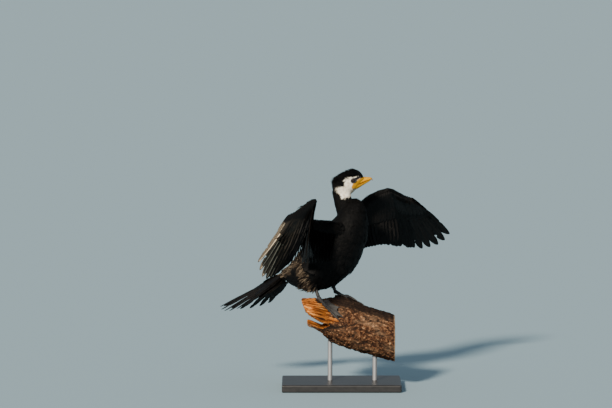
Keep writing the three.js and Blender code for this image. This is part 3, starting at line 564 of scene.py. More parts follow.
for name, values in {
    "white": white,
    "tan": tan,
    "gape": gape,
    "lore": dark_skin,
    "throat": smooth_step(-19, -6, ahead) * smooth_step(-13, -20, above) * near_head,
    "growth": growth / 1000,
    "slim": 1 - 0.76 * tan - 0.35 * in_thigh * (1 - tan),
    "raise": (0.1 + 0.24 * crown + 0.2 * over_nape * (1 - white) + 0.1 * in_thigh + 0.08 * tan
              - 0.07 * in_wing),
    "cover_head": np.clip(in_head + in_neck, 0, 1) * (dark_skin < 0.5) * (gape < 0.5),
    "cover_rump": trunk_cover * (1 - from_front),
    "cover_breast": trunk_cover * from_front,
    "cover_wings": in_wing,
}.items():
    mark(skin_mesh, name, values)

body_finish, node = finish("body_skin", Roughness=0.7, Specular_IOR_Level=0.2)
mottle = node.grain(160, 5)


def plumage_colour(shade):
    """Black with a brown cast, white on the face and tan on the flank, a little uneven."""
    black = node.ramp(shade, (0.2, (0.0009, 0.0009, 0.001)), (0.85, (0.0026, 0.0023, 0.0022)))
    tan_brown = node.ramp(shade, (0.15, (0.008, 0.0055, 0.004)), (0.5, (0.045, 0.031, 0.02)),
                          (0.95, (0.13, 0.096, 0.064)))
    face = node.ramp(shade, (0.05, (0.74, 0.61, 0.44)), (0.35, (0.96, 0.89, 0.76)))
    face = node.mix(node.maths("MULTIPLY", node.marked("throat"), 0.72), face, (0.24, 0.18, 0.1, 1))
    return node.mix(node.marked("white"), node.mix(node.marked("tan"), black, tan_brown), face)


gape_yellow = (0.58, 0.26, 0.0, 1)
lore_black = (0.012, 0.009, 0.011, 1)
bare_colour = node.mix(node.marked("gape"), lore_black, gape_yellow)
bare_share = node.maths("ADD", node.marked("gape"), node.marked("lore"))
node.paint(node.mix(bare_share, plumage_colour(mottle), bare_colour))
node.bump(mottle, 0.5, 0.0008)
body_skin = set_out("body_skin", skin_mesh, body_finish)
bpy.context.view_layer.objects.active = body_skin
body_skin.select_set(True)
bpy.ops.object.mode_set(mode="EDIT")
bpy.ops.mesh.select_all(action="SELECT")
bpy.ops.uv.smart_project(angle_limit=math.radians(66), island_margin=0.004)
bpy.ops.object.mode_set(mode="OBJECT")
body_skin.select_set(False)
skin_mesh.uv_layers[0].name = "OFBake"
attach(body_skin, "root")
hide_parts("torso", "neck", "head", "thigh_left", "thigh_right")

# Coat: small overlapping feathers over the whole skin, each a blade with loose barbs at its sides,
# lying from bill to tail. They are shortest on the face, and raised on the crown and nape. Patterns are
# one unit long, and grow to the length that the skin's own mark gives.
TUFT_PATCH = 0.003                  # the breadth of one feather's patch on the skin's map
DENSEST = 4e6                       # feathers to the square metre, before spacing thins them


def blade(stations, sideways=0.0, fan=0.0, thick=0.035):
    """Points and faces of one thin three-sided blade along y, its root at the origin."""
    points, faces = [], []
    for y, half, lift in stations:
        x = sideways + fan * y
        points += [(x - half, y, lift), (x + half, y, lift), (x, y, lift + thick * (1.1 - y))]
    for i in range(len(stations) - 1):
        for j in range(3):
            a, b = 3 * i + j, 3 * i + (j + 1) % 3
            faces.append((a, b, b + 3, a + 3))
    last = 3 * len(stations) - 3
    return points, faces + [(2, 1, 0), (last, last + 1, last + 2)]


def turn_out(mesh, smooth=True):
    """Turns every face outward, and shades them smooth where asked."""
    form = bmesh.new()
    form.from_mesh(mesh)
    bmesh.ops.recalc_face_normals(form, faces=form.faces)
    if smooth:
        for face in form.faces:
            face.smooth = True
    form.to_mesh(mesh)
    form.free()


def feather_pattern(name, blades):
    """One pattern feather made of blades, with its own flat map."""
    points, faces = [], []
    for more_points, more_faces in blades:
        faces += [tuple(i + len(points) for i in face) for face in more_faces]
        points += more_points
    mesh = bpy.data.meshes.new(name)
    mesh.from_pydata(points, [], faces)
    turn_out(mesh, smooth=False)
    flat = mesh.uv_layers.new(name="blade")
    for loop in mesh.loops:
        x, y, _ = mesh.vertices[loop.vertex_index].co
        flat.data[loop.index].uv = (x + 0.5, y)
    return set_out(name, mesh)


CONTOUR = feather_pattern("contour_feather", [
    blade([(0, 0.08, 0), (0.35, 0.2, 0.03), (0.72, 0.22, 0.03), (1, 0.05, -0.02)]),
    blade([(0.3, 0.04, 0.01), (0.65, 0.07, 0.02), (0.93, 0.012, -0.02)], -0.13, -0.1, 0.03),
    blade([(0.3, 0.04, 0.01), (0.65, 0.07, 0.02), (0.9, 0.012, -0.02)], 0.13, 0.12, 0.03),
])
TUFT = feather_pattern("face_tuft", [
    blade([(0, 0.06, 0), (0.5, 0.085, 0.05), (1, 0.012, 0)]),
    blade([(0, 0.05, 0), (0.5, 0.065, 0.03), (0.86, 0.012, -0.04)], -0.05, -0.22),
    blade([(0, 0.05, 0), (0.5, 0.065, 0.03), (0.82, 0.012, -0.04)], 0.05, 0.24),
])


def coat_tree():
    """Feathers set on a skin, spaced evenly, laid along its lie and raised by its own mark."""
    tree = bpy.data.node_groups.new("coat", "GeometryNodeTree")
    node = node_maker(tree)
    sockets = {}
    for name, kind in (("Skin", "Geometry"), ("Feather", "Object"), ("Cover", "String"), ("Spacing", "Float"),
                       ("Waver", "Float"), ("Seed", "Int"), ("Finish", "Material")):
        made = tree.interface.new_socket(name, in_out="INPUT", socket_type="NodeSocket" + kind)
        sockets[name] = made.identifier
    tree.interface.new_socket("Coat", in_out="OUTPUT", socket_type="NodeSocketGeometry")

    def named(name, kind="FLOAT"):
        return node("GeometryNodeInputNamedAttribute", {"Name": name}, data_type=kind).outputs["Attribute"]

    def stored(geometry, name, value, kind, domain="POINT"):
        inputs = {"Geometry": geometry, "Name": name, "Value": value}
        return node("GeometryNodeStoreNamedAttribute", inputs, data_type=kind, domain=domain).outputs[0]

    def maths(operation, a, b, kind="Math"):
        return node("ShaderNode" + kind, {0: a, 1: b}, operation=operation).outputs[0]

    def chance(low, high, extra):
        seed = maths("ADD", given["Seed"], float(extra))
        return node("FunctionNodeRandomValue", {"Seed": seed, 2: low, 3: high}, data_type="FLOAT").outputs[1]

    def turned(rotation, axis, angle):
        by = node("FunctionNodeAxisAngleToRotation", {"Axis": axis, "Angle": angle}).outputs[0]
        return node("FunctionNodeRotateRotation", {0: rotation, 1: by}, rotation_space="LOCAL").outputs[0]

    given = tree.nodes.new("NodeGroupInput").outputs
    spots = node("GeometryNodeDistributePointsOnFaces", {
        "Mesh": given["Skin"], "Distance Min": given["Spacing"], "Density Max": DENSEST,
        "Density Factor": named(given["Cover"]), "Seed": given["Seed"]}, distribute_method="POISSON")
    roots = stored(spots.outputs["Points"], "root", named("OFBake", "FLOAT_VECTOR"), "FLOAT_VECTOR")
    roots = stored(roots, "shade", chance(0, 1, 3), "FLOAT")
    laid = node("FunctionNodeAlignRotationToVector", {"Vector": spots.outputs["Normal"]}, axis="Z").outputs[0]
    laid = node("FunctionNodeAlignRotationToVector", {
        "Rotation": laid, "Vector": named("lie", "FLOAT_VECTOR")}, axis="Y", pivot_axis="Z").outputs[0]
    laid = turned(laid, (0, 0, 1), maths("MULTIPLY", chance(-1, 1, 5), given["Waver"]))
    laid = turned(laid, (1, 0, 0), maths("MULTIPLY", named("raise"), chance(0.55, 1.5, 7)))
    length = maths("MULTIPLY", named("growth"), chance(0.78, 1.2, 9))
    broad = maths("MULTIPLY", length, named("slim"))
    size = node("ShaderNodeCombineXYZ", {0: broad, 1: length, 2: length}).outputs[0]
    pattern = node("GeometryNodeObjectInfo", {"Object": given["Feather"]}, transform_space="ORIGINAL")
    planted = node("GeometryNodeInstanceOnPoints", {
        "Points": roots, "Instance": pattern.outputs["Geometry"], "Rotation": laid, "Scale": size})
    whole = node("GeometryNodeRealizeInstances", {"Geometry": planted.outputs[0]}).outputs[0]
    patch = maths("MULTIPLY", named("blade", "FLOAT_VECTOR"), (TUFT_PATCH, TUFT_PATCH, 0), "VectorMath")
    patch = maths("ADD", patch, named("root", "FLOAT_VECTOR"), "VectorMath")
    mapped = stored(whole, "OFBake", patch, "FLOAT2", "CORNER")
    painted = node("GeometryNodeSetMaterial", {"Geometry": mapped, "Material": given["Finish"]})
    tree.links.new(painted.outputs[0], tree.nodes.new("NodeGroupOutput").inputs[0])
    return tree, sockets


COAT_TREE, COAT_INPUTS = coat_tree()
coat_finish, node = finish("coat", Roughness=0.68, Specular_IOR_Level=0.1)
node.paint(plumage_colour(node.marked("shade")))

for seed, (part, pattern, spacing, waver, slot) in enumerate([
        ("rump", CONTOUR, 0.0034, 0.3, "body_plumage"), ("breast", CONTOUR, 0.0034, 0.25, "body_plumage"),
        ("wings", CONTOUR, 0.0032, 0.25, "wing_plumage"), ("head", TUFT, 0.0016, 0.35, "head_plumage")], 1):
    bed = set_out("bed", skin_mesh.copy())
    modifier = bed.modifiers.new("coat", "NODES")
    modifier.node_group = COAT_TREE
    for key, value in {"Feather": pattern, "Cover": "cover_" + part, "Spacing": spacing, "Waver": waver,
                       "Seed": seed, "Finish": coat_finish}.items():
        modifier[COAT_INPUTS[key]] = value
    seen = bed.evaluated_get(bpy.context.evaluated_depsgraph_get())
    mesh = bpy.data.meshes.new_from_object(seen)
    mesh.name = "coat_" + part
    bpy.data.objects.remove(bed)
    for spare in ["lie", "growth", "slim", "gape", "lore", "raise", "root"] + [
            layer.name for layer in mesh.attributes if layer.name.startswith("cover_")]:
        mesh.attributes.remove(mesh.attributes[spare])
    for spare in [layer.name for layer in mesh.uv_layers if layer.name != "OFBake"]:
        mesh.uv_layers.remove(mesh.uv_layers[spare])
    mesh.materials.clear()
    coat_part = set_out("coat_" + part, mesh, coat_finish)
    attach(coat_part, "root")
for pattern in (CONTOUR, TUFT):
    bpy.data.objects.remove(pattern)

# Wings: long black flight feathers, each a stiff shaft with a barbed vane on either side, in a row of
# ten on the hand and fifteen on the forearm, and shorter ones on the upper arm. Coverts lie over their
# roots in tiers, above and below. All are rooted in the skin, and lengths are in millimetres.
FAN_CENTRE = (49, 169, 223)
PRIMARY_REACH = [150, 160, 172, 185, 198, 212, 226, 236, 238, 238]
FAN = {1: [33.5, 43, 52.8, 62.5], -1: [33.5, 41, 49, 62.3]}   # degrees out from straight down
SECONDARY_LENGTH = [118, 98, 84]
HUMERAL_LENGTH = [84, 74]
SPREAD_SHARE = 0.35
MAP_CELLS = 16                      # the vanes' map is a square of this many cells each way
MARKS = ("shaft", "shade", "edge", "pale")
BROAD = [(0, 0.35), (0.12, 0.8), (0.4, 1), (0.75, 0.95), (0.9, 0.75), (0.97, 0.45), (1, 0.12)]
POINTED = [(0, 0.3), (0.15, 0.8), (0.45, 1), (0.7, 0.85), (0.9, 0.56), (0.97, 0.32), (1, 0.06)]
ROUNDED = [(0, 0.5), (0.25, 0.9), (0.6, 1), (0.85, 0.85), (0.95, 0.55), (1, 0.15)]


def sheaf():
    """A bundle of feathers, still empty."""
    return {"count": 0} | {key: [] for key in ("points", "faces", "bake", "barb", *MARKS)}


def lay_vane(feathers, draw, root, tip, face, outer, width, outline, lead=0.5, bow=0.02, roll=8, rows=12,
             columns=6, notches=1, thick=0.3, shaft=0.7, curl=0.0, frayed=0.0, pale=0.0):
    """Adds a feather from root to tip: a thin closed vane, shown towards face, and its tapering shaft.

    The edge on the side of outer is lifted, so that each feather slides under the next one outwards.
    """
    line = tip - root
    length = line.length
    way = line.normalized()
    across = (outer - way * outer.dot(way)).normalized()
    normal = across.cross(way)
    if normal.dot(face) < 0:
        normal.negate()
    turn = math.radians(roll + draw.uniform(-2, 2))
    flat_across = across
    across = flat_across * math.cos(turn) + normal * math.sin(turn)
    normal = normal * math.cos(turn) - flat_across * math.sin(turn)
    cell = feathers["count"]
    feathers["count"] += 1
    corner_x = (cell % MAP_CELLS) / MAP_CELLS
    corner_y = (cell // MAP_CELLS) / MAP_CELLS
    shade = draw.random()
    splits = [(draw.uniform(0.35, 0.93), draw.choice((-1, 1)), draw.uniform(0.15, 0.5))
              for _ in range(notches)]
    stops = [p[0] for p in outline]
    sizes = [p[1] for p in outline]

    def spine(t):
        return root + line * t + normal * (math.sin(math.pi * t) * bow * length - curl * length * t * t)

    def put(point, *marks):
        feathers["points"].append(point)
        for key, value in zip(MARKS, marks):
            feathers[key].append(value)

    def map_at(x, t):
        """Puts a corner of a face in the feather's own cell of the map."""
        feathers["bake"].append((corner_x + x / MAP_CELLS, corner_y + (0.03 + 0.94 * t) / MAP_CELLS))

    first = len(feathers["points"])
    grid = []
    for level in (1, -1):
        for i in range(rows + 1):
            t = i / rows
            t = t + 0.35 * t * (1 - t) * (t - 0.1)
            middle = spine(t)
            half = width * float(np.interp(t, stops, sizes))
            for j in range(columns + 1):
                s = 2 * j / columns - 1
                share = lead if s > 0 else 1 - lead
                reach = 1.0
                for place, split_side, bite in splits:
                    if split_side * s > 0.3 and abs(t - place) < 0.03:
                        reach -= bite * (1 - abs(t - place) / 0.03) * abs(s)
                if abs(s) > 0.9:
                    reach *= 1 + frayed * draw.uniform(-1, 0.4)
                out = half * share * s * reach
                slant = -abs(out) * 0.28 * (1 - 0.5 * t)
                camber = -0.10 * half * s * s + level * thick * 0.5 * (1 - 0.75 * s * s) * (1 - 0.5 * t)
                put(middle + across * out - way * slant + normal * camber,
                    0.0, shade, abs(s) if s > 0 else 0.0, pale if s > 0 else 0.22 * pale)
                grid.append((j / columns, t, out, length * t))
    size = (rows + 1) * (columns + 1)

    def lay_face(corners, level):
        feathers["faces"].append(tuple(first + k for k in corners))
        for k in corners:
            a, t, out, along = grid[k]
            map_at(0.03 + 0.3 * a + (0.36 if level < 0 else 0), t)
            feathers["barb"].append((out, along))

    for i in range(rows):
        for j in range(columns):
            a = i * (columns + 1) + j
            c = a + columns + 1
            lay_face((a, a + 1, c + 1, c), 1)
            lay_face((size + a, size + c, size + c + 1, size + a + 1), -1)
    for i in range(rows):
        a, c = i * (columns + 1), (i + 1) * (columns + 1)
        lay_face((a, c, size + c, size + a), 1)
        a, c = a + columns, c + columns
        lay_face((a, size + a, size + c, c), 1)
    for j in range(columns):
        a = rows * (columns + 1) + j
        lay_face((j, size + j, size + j + 1, j + 1), 1)
        lay_face((a, a + 1, size + a + 1, size + a), 1)
    first = len(feathers["points"])
    steps = max(4, rows // 2)
    sides = 5
    for i in range(steps + 1):
        t = 0.97 * i / steps
        radius = shaft * (1 - 0.8 * t)
        for j in range(sides):
            a = 2 * math.pi * j / sides
            point = spine(t) + across * math.cos(a) * radius + normal * math.sin(a) * radius * 0.8
            put(point, 1.0, shade, 0.0, pale)

    def lay_shaft(corners):
        feathers["faces"].append(tuple(first + k for k in corners))
        for k in corners:
            map_at(0.76 + 0.2 * (k % sides) / sides, (k // sides) / steps)
            feathers["barb"].append((0.0, 0.0))

    for i in range(steps):
        for j in range(sides):
            a, b = i * sides + j, i * sides + (j + 1) % sides
            lay_shaft((a, b, b + sides, a + sides))
    lay_shaft(tuple(range(sides))[::-1])
    lay_shaft(tuple(steps * sides + j for j in range(sides)))


def bound(name, feathers, material):
    """One piece of the feathers laid, with its map, its barbs' map and its marks."""
    mesh = bpy.data.meshes.new(name)
    mesh.from_pydata([at(*p) for p in feathers["points"]], [], feathers["faces"])
    for key, name_of_map in (("bake", "OFBake"), ("barb", "barb")):
        layer = mesh.uv_layers.new(name=name_of_map)
        layer.data.foreach_set("uv", np.array(feathers[key], float).ravel())
    for key in MARKS:
        mark(mesh, key, feathers[key])
    turn_out(mesh)
    return set_out(name, mesh, material)


def vane_finish(name, edge_brown, gloss):
    """Black vane with fine slanting barbs, a paler brown shaft and worn outer edges."""
    material, node = finish(name, Roughness=0.5, Specular_IOR_Level=gloss)
    split = node("SeparateXYZ", {"Vector": node("UVMap", uv_map="barb").outputs[0]})
    off_shaft, along = split.outputs[0], split.outputs[1]
    slant = node.maths("ADD", along, node.maths("MULTIPLY", node.maths("ABSOLUTE", off_shaft), -0.9))
    barbs = node.maths("SINE", node.maths("MULTIPLY", slant, 7.5), 0)
    streak_place = node("CombineXYZ", {"X": node.maths("MULTIPLY", slant, 0.9),
                                       "Y": node.maths("MULTIPLY", off_shaft, 0.08)}).outputs[0]
    streak = node.grain(1, 4, streak_place)
    black = node.ramp(streak, (0.3, (0.001, 0.001, 0.0011)), (0.7, (0.003, 0.0027, 0.0025)))
    edge = node.maths("MULTIPLY", node.maths("POWER", node.marked("edge"), 3),
                      node.maths("MULTIPLY", node.marked("shade"), 0.8))
    pale = node.marked("pale")
    worn = node.ramp(node.maths("MULTIPLY_ADD", barbs, 0.3),
                     (0.3, (0.04, 0.031, 0.021)), (0.75, (0.3, 0.24, 0.17)))
    vane_colour = node.mix(edge, black, (*edge_brown, 1))
    vane_colour = node.mix(node.maths("MULTIPLY", pale, 0.75), vane_colour, worn)
    shaft_colour = node.mix(pale, (0.014, 0.011, 0.009, 1), (0.8, 0.66, 0.46, 1))
    node.paint(node.mix(node.marked("shaft"), vane_colour, shaft_colour))
    node.bump(node.maths("ADD", barbs, streak), 0.35, 0.0004)
    node.dull(node.ramp(streak, (0.3, (0.42, 0.42, 0.42)), (0.7, (0.62, 0.62, 0.62))))
    return material


wing_finish = vane_finish("wing_vanes", (0.009, 0.007, 0.006), 0.14)
BACKWARD = Vector((-1, 0, 0))

# The rows of coverts from the outermost tier inwards: the feathers they lie over, how many there are, their
# width, how far they reach along those feathers above and below the wing, their rise off them, their mesh
# rows and notches, the shaft's radius, the fraying, and how worn they are.
COVERTS = [
    ("primary", 11, 17, (0.46, 0.36), 3.2, 12, 1, 0.7, 0.05, 1),
    ("secondary", 16, 20, (0.55, 0.55), 3.6, 12, 1, 0.7, 0.06, 0),
    ("humeral", 9, 22, (0.62, 0.62), 3.6, 12, 1, 0.7, 0.06, 0),
    ("primary", 12, 14, (0.3, 0.24), 5.4, 8, 1, 0.4, 0.08, 0.4),
    ("secondary", 17, 17, (0.38, 0.38), 6, 8, 1, 0.4, 0.08, 0),
    ("humeral", 10, 19, (0.42, 0.42), 6.4, 8, 1, 0.4, 0.08, 0),
    ("primary", 12, 12, (0.19, 0.19), 6.6, 6, 0, 0.3, 0.1, 0),
    ("secondary", 18, 15, (0.25, 0.25), 7.8, 6, 0, 0.3, 0.1, 0),
    ("humeral", 11, 17, (0.28, 0.28), 8.6, 6, 0, 0.3, 0.1, 0),
]


def feathered_wing(side, draw):
    """All the feathers of the left wing, for a side of 1, or of the right one, for -1."""
    shoulder, elbow, wrist, hand_tip, forearm = wing_bones(side)
    centre = Vector((FAN_CENTRE[0], FAN_CENTRE[1] * side, FAN_CENTRE[2]))
    hand_way = (hand_tip - wrist).normalized()
    arm_way = (wrist - elbow).normalized()
    feathers = sheaf()

    def primary(t):
        angle = math.radians(value_at(FAN[side], t))
        step = t * (len(PRIMARY_REACH) - 1)
        lean = max(-0.1, -0.1 + 0.047 * (step - 4)) if side > 0 else -0.1 + 0.1 * t
        way = Vector((lean, math.sin(angle) * side, -math.cos(angle))).normalized()
        return wrist.lerp(hand_tip, 0.05 + 0.95 * t), centre + way * value_at(PRIMARY_REACH, t), hand_way

    def secondary(t):
        spread = max(0, 1 - t / SPREAD_SHARE) ** 1.5
        out = (0.02 - 0.08 * t + 0.3 * spread) * side
        way = Vector((0.12 - 0.14 * t - 0.1 * spread, out, -1)).normalized()
        root = forearm(0.97 - 0.95 * t)
        return root, root + way * value_at(SECONDARY_LENGTH, t), arm_way

    def humeral(t):
        root = elbow.lerp(shoulder, 0.08 + 0.72 * t)
        way = Vector((-0.12, -0.05 * side, -1)).normalized()
        return root, root + way * value_at(HUMERAL_LENGTH, t), arm_way

    def between(t):
        angle = math.radians(15 + 17 * t)
        way = Vector((-0.08 - 0.02 * t, math.sin(angle) * side, -math.cos(angle))).normalized()
        root = forearm(0.97).lerp(wrist.lerp(hand_tip, 0.04), t)
        return root, root + way * (119 + 27 * t), arm_way

    def worn_pale(t):
        return min(1, max(0, 2.3 * t - 0.6)) if side < 0 else 0

    def row(feather, count, width, outline, lead=0.45, reach=1.0, rise=0.0, below=False, worn=0,
            outermost=None, **details):
        """Lays feathers along the wing; outermost gives the last one's width and lead."""
        last_width, last_lead = outermost or (width, lead)
        for i in range(count):
            t = i / (count - 1)
            root, tip, outer = feather(t)
            lift = outer.cross(tip - root).normalized()
            if (lift.x > 0) != below:
                lift.negate()
            end = root.lerp(tip, reach * draw.uniform(0.99, 1.015)) + lift * (rise * 0.5)
            lay_vane(feathers, draw, root + lift * rise, end, -BACKWARD if below else BACKWARD, outer,
                     width + (last_width - width) * t, outline, lead=lead + (last_lead - lead) * t,
                     pale=worn * worn_pale(t), **details)

    row(between, 7, 24, BROAD, 0.42, rows=20, columns=8, notches=2, shaft=0.9, frayed=0.05)
    row(primary, 10, 25, POINTED, 0.36, outermost=None if side > 0 else (16.5, 0.6), rows=30, columns=8,
        notches=3, shaft=1.3 if side > 0 else 2, curl=0.02, frayed=0.04, worn=1)
    row(secondary, 15, 23, BROAD, 0.42, rows=20, columns=8, notches=3, shaft=0.9, frayed=0.05)
    row(humeral, 9, 24, BROAD, rows=16, columns=8, notches=3, shaft=0.8, frayed=0.06)
    lain_over = {"primary": primary, "secondary": secondary, "humeral": humeral}
    for below, lift in ((False, 1.0), (True, 0.85)):
        for name, count, width, reach, rise, rows, notches, shaft, frayed, worn in COVERTS:
            row(lain_over[name], count, width, ROUNDED, reach=reach[below], rise=rise * lift, below=below,
                worn=worn, rows=rows, notches=notches, shaft=shaft, frayed=frayed)
    for i in range(4):
        t = i / 3
        root = wrist.lerp(hand_tip, 0.16 + 0.05 * t) + Vector((-4 - 1.5 * t, 0, -1 - 2 * t))
        tip = wrist.lerp(hand_tip, 0.72 + 0.2 * t) + Vector((-6, 0, -5 - 6 * t))
        lay_vane(feathers, draw, root, tip, BACKWARD, UP, 10, ROUNDED, rows=10, shaft=0.6)
    return feathers


for side, name in ((1, "wing_left"), (-1, "wing_right")):
    wing = bound(name + "_feathers", feathered_wing(side, random.Random(11 + side)), wing_finish)
    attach(wing, "root")
    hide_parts(name)

# Tail: twelve long stiff feathers with worn tips, half spread as a prop, and short coverts over and
# under their roots, which sit in the rump.
TAIL_LENGTHS = [163, 158, 150, 138, 122, 105]
TAIL_ROOT = Vector((-112, 0, 46))
TAIL_WAY = Vector((-0.894, -0.12, -0.43)).normalized()
TAIL_HALF_FAN = math.radians(39)
TAIL_SIDE = (ACROSS - TAIL_WAY * TAIL_WAY.y).normalized()
TAIL_UP = TAIL_WAY.cross(TAIL_SIDE).normalized()
if TAIL_UP.z < 0:
    TAIL_UP.negate()


def tail_feather(feathers, draw, fan, length, lift, width, outline, **details):
    """Lays one feather at its share of the half fan, from -1 on the right to 1 on the left."""
    swing = TAIL_HALF_FAN * fan
    way = (TAIL_WAY * math.cos(swing) + TAIL_SIDE * math.sin(swing) * 0.9
           - TAIL_UP * 0.45 * math.sin(abs(swing))).normalized()
    root = TAIL_ROOT + TAIL_WAY * 8 + TAIL_SIDE * fan * 13 + TAIL_UP * (lift - 7.8 * abs(fan))
    outer = TAIL_SIDE * math.copysign(1, fan) - TAIL_UP * 0.5
    lay_vane(feathers, draw, root, root + way * length, TAIL_UP, outer, width, outline, **details)


draw = random.Random(21)
tail_feathers = sheaf()
for side in (-1, 1):
    for i, length in enumerate(TAIL_LENGTHS):
        tail_feather(tail_feathers, draw, side * (i + 0.5) / 6, length - 9, 2.2, 12.5, BROAD, bow=0.01,
                     roll=0, rows=24, columns=8, notches=4, shaft=1.3, frayed=0.08)
for lift, reach, count in ((4.5, 62, 12), (6, 44, 11), (7.5, 30, 10), (-4.5, 60, 12), (-6.5, 42, 11)):
    for i in range(count):
        fan = 1.8 * (i + 0.5) / count - 0.9
        tail_feather(tail_feathers, draw, fan, reach * draw.uniform(0.85, 1.1), lift, 14, ROUNDED, roll=0,
                     rows=10, shaft=0.5, frayed=0.1)
tail = bound("tail_feathers", tail_feathers, vane_finish("tail_vanes", (0.008, 0.006, 0.005), 0.1))
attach(tail, "root")
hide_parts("tail")

# Eyes: dark brown, round and wet, under a bulging clear front, each set deep in the head in a ring of
# bare black lid. Sizes are in millimetres, and EYE_SIDE is how far each stands off the head's middle.
EYE_RADIUS = 4.7
EYE_SIDE = 12.4
EYE_SEGMENTS = 40
LID_SIDE = EYE_SIDE + 2.3
LID_STEPS = 10
eye_finish, node = finish("eye", Roughness=0.12, Specular_IOR_Level=0.35, Coat_Weight=0.5,
                          Coat_Roughness=0.03)
iris_colour = node.mix(node.grain(1800, 3), (0.006, 0.003, 0.002, 1), (0.03, 0.013, 0.007, 1))
pupil = node.ramp(node.marked("iris"), (0.42, (1, 1, 1)), (0.46, (0, 0, 0)), (0.9, (0, 0, 0)),
                  (0.96, (1, 1, 1)))
node.paint(node.mix(pupil, iris_colour, (0.003, 0.0025, 0.0025, 1)))
lid_finish, node = finish("lid_skin", Roughness=0.5)
beads = node.cells(1500)
node.paint(node.mix(beads, (0.035, 0.032, 0.036, 1), (0.008, 0.007, 0.008, 1)))
node.bump(beads, 0.6, 0.0003)
for side, name in ((1, "left"), (-1, "right")):
    form = bmesh.new()
    bmesh.ops.create_uvsphere(form, u_segments=EYE_SEGMENTS, v_segments=28, radius=EYE_RADIUS)
    mesh = mesh_of(f"eye_{name}_ball", form)
    iris_mark = []
    for vertex in mesh.vertices:
        off_axis = math.acos(max(-1, min(1, vertex.co.z / EYE_RADIUS)))
        iris_mark.append(min(1, off_axis / 0.95))
        x, y, z = vertex.co * (1 + 0.07 * math.exp(-(off_axis / 0.55) ** 2))
        vertex.co = at(*on_head(x, side * (EYE_SIDE + z), y))
    mark(mesh, "iris", iris_mark)
    turn_out(mesh)
    eye = set_out(mesh.name, mesh, eye_finish)
    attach(eye, "root")
    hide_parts(f"eye_{name}")

    points, faces = [], []
    for k in range(EYE_SEGMENTS):
        a = 2 * math.pi * k / EYE_SEGMENTS
        out = Vector((math.cos(a), 0, math.sin(a)))
        middle = Vector((out.x * (4.7 + 0.5 * abs(out.x) ** 3), 0, out.z * 4.15))
        for j in range(LID_STEPS):
            b = 2 * math.pi * j / LID_STEPS
            point = middle + out * math.cos(b) * 1.25
            off_middle = side * (LID_SIDE - 0.45 * abs(out.x) + math.sin(b) * 1.05)
            points.append(at(*on_head(point.x, off_middle, point.z)))
            i, n = LID_STEPS * k, LID_STEPS * ((k + 1) % EYE_SEGMENTS)
            faces.append((i + j, i + (j + 1) % LID_STEPS, n + (j + 1) % LID_STEPS, n + j))
    mesh = bpy.data.meshes.new(f"lid_{name}")
    mesh.from_pydata(points, [], faces)
    turn_out(mesh)
    lid = set_out(mesh.name, mesh, lid_finish)
    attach(lid, "root")

# Bill: two halves of yellow horn, dusky along the ridge, the upper one grooved at its sides and hooked
# at its tip, and the lower one running back into bare throat skin. Each station, in millimetres in the
# head's frame, is a run, the heights of the back and of the cutting edge, and a half width.
UPPER_BILL = [(-8, -8, -12.6, 10), (4, 1, -11.4, 9), (14, 4, -10.6, 7.6), (22, 1.6, -9.8, 5.8),
              (30, -1.2, -9.1, 4.6), (36, -3.2, -8.9, 3.8), (39.5, -4.8, -9.6, 2.9), (41.6, -6.6, -11.6, 1.9),
              (42.4, -9.4, -13.2, 0.8)]
LOWER_BILL = [(-9, -17, -13.4, 8), (-2, -21, -12.4, 10.5), (8, -19.6, -11.5, 8.8), (18, -16.8, -10.7, 6.4),
              (28, -14.2, -9.7, 4.5), (35, -12.4, -9.4, 3.1), (38.6, -11, -9.9, 1.3)]
BILL_LENGTH = 44
BILL_SIDES = 26


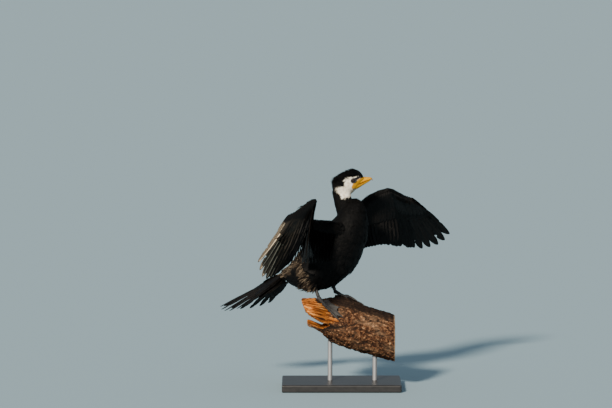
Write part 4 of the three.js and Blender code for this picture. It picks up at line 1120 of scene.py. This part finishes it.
def bill_half(name, stations, count, groove):
    """An arched half of the bill, flat along its cutting edge, with marks for its finish."""
    rings, along, arch = [], [], []
    for x, back, edge, width in eased(stations, count):
        ring = []
        for j in range(BILL_SIDES):
            a = math.pi * j / (BILL_SIDES - 1)
            rise = math.sin(a)
            pinch = 1 - groove * math.exp(-((rise - 0.62) / 0.1) ** 2) * min(1, max(0, (38 - x) / 10))
            ring.append(on_head(x, math.cos(a) * width * pinch, edge + rise * (back - edge)))
            along.append(x)
            arch.append(rise)
        rings.append(ring)
    form = bmesh.new()
    loft(form, rings)
    for i, face in enumerate(form.faces):
        face.smooth = i < BILL_SIDES * (count - 1) and i % BILL_SIDES < BILL_SIDES - 1
    mesh = mesh_of(name, form)
    turn_out(mesh, smooth=False)
    mark(mesh, "along", np.array(along) / BILL_LENGTH)
    mark(mesh, "arch", arch)
    return mesh


def horn(name, ridge_colour, ridge_from):
    """Yellow horn, dusky on its ridge near the head and dark at its tip, a little scaled and worn."""
    material, node = finish(name, Roughness=0.45, Specular_IOR_Level=0.14)
    along = node.marked("along")
    arch = node.marked("arch")
    scale = node.grain(420, 6)
    colour = node.ramp(scale, (0.3, (0.46, 0.17, 0.0)), (0.5, (0.64, 0.3, 0.0)), (0.75, (0.72, 0.4, 0.0)))
    at_edge = node.ramp(arch, (0.06, (0.8, 0.8, 0.8)), (0.24, (0, 0, 0)))
    colour = node.mix(at_edge, colour, (0.2, 0.05, 0.004, 1))
    on_ridge = node.ramp(arch, (ridge_from, (0, 0, 0)), (min(1, ridge_from + 0.12), (1, 1, 1)))
    near_head = node.ramp(along, (0.35, (1, 1, 1)), (0.85, (0.15, 0.15, 0.15)))
    colour = node.mix(node.maths("MULTIPLY", on_ridge, near_head), colour, (*ridge_colour, 1))
    tip = node.ramp(along, (0.86, (0, 0, 0)), (0.97, (1, 1, 1)))
    node.paint(node.mix(node.maths("MULTIPLY", tip, 0.8), colour, (0.16, 0.1, 0.045, 1)))
    node.bump(scale, 0.35, 0.0004)
    return material


for half, stations, count, groove, ridge_colour, ridge_from in (
        ("upper", UPPER_BILL, 46, 0.1, (0.1, 0.055, 0.045), 0.82),
        ("lower", LOWER_BILL, 40, 0.0, (0.11, 0.04, 0.008), 0.84)):
    mesh = bill_half(half + "_bill_horn", stations, count, groove)
    bill = set_out(mesh.name, mesh, horn(half + "_horn", ridge_colour, ridge_from))
    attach(bill, "root")
    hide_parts("bill_" + half)
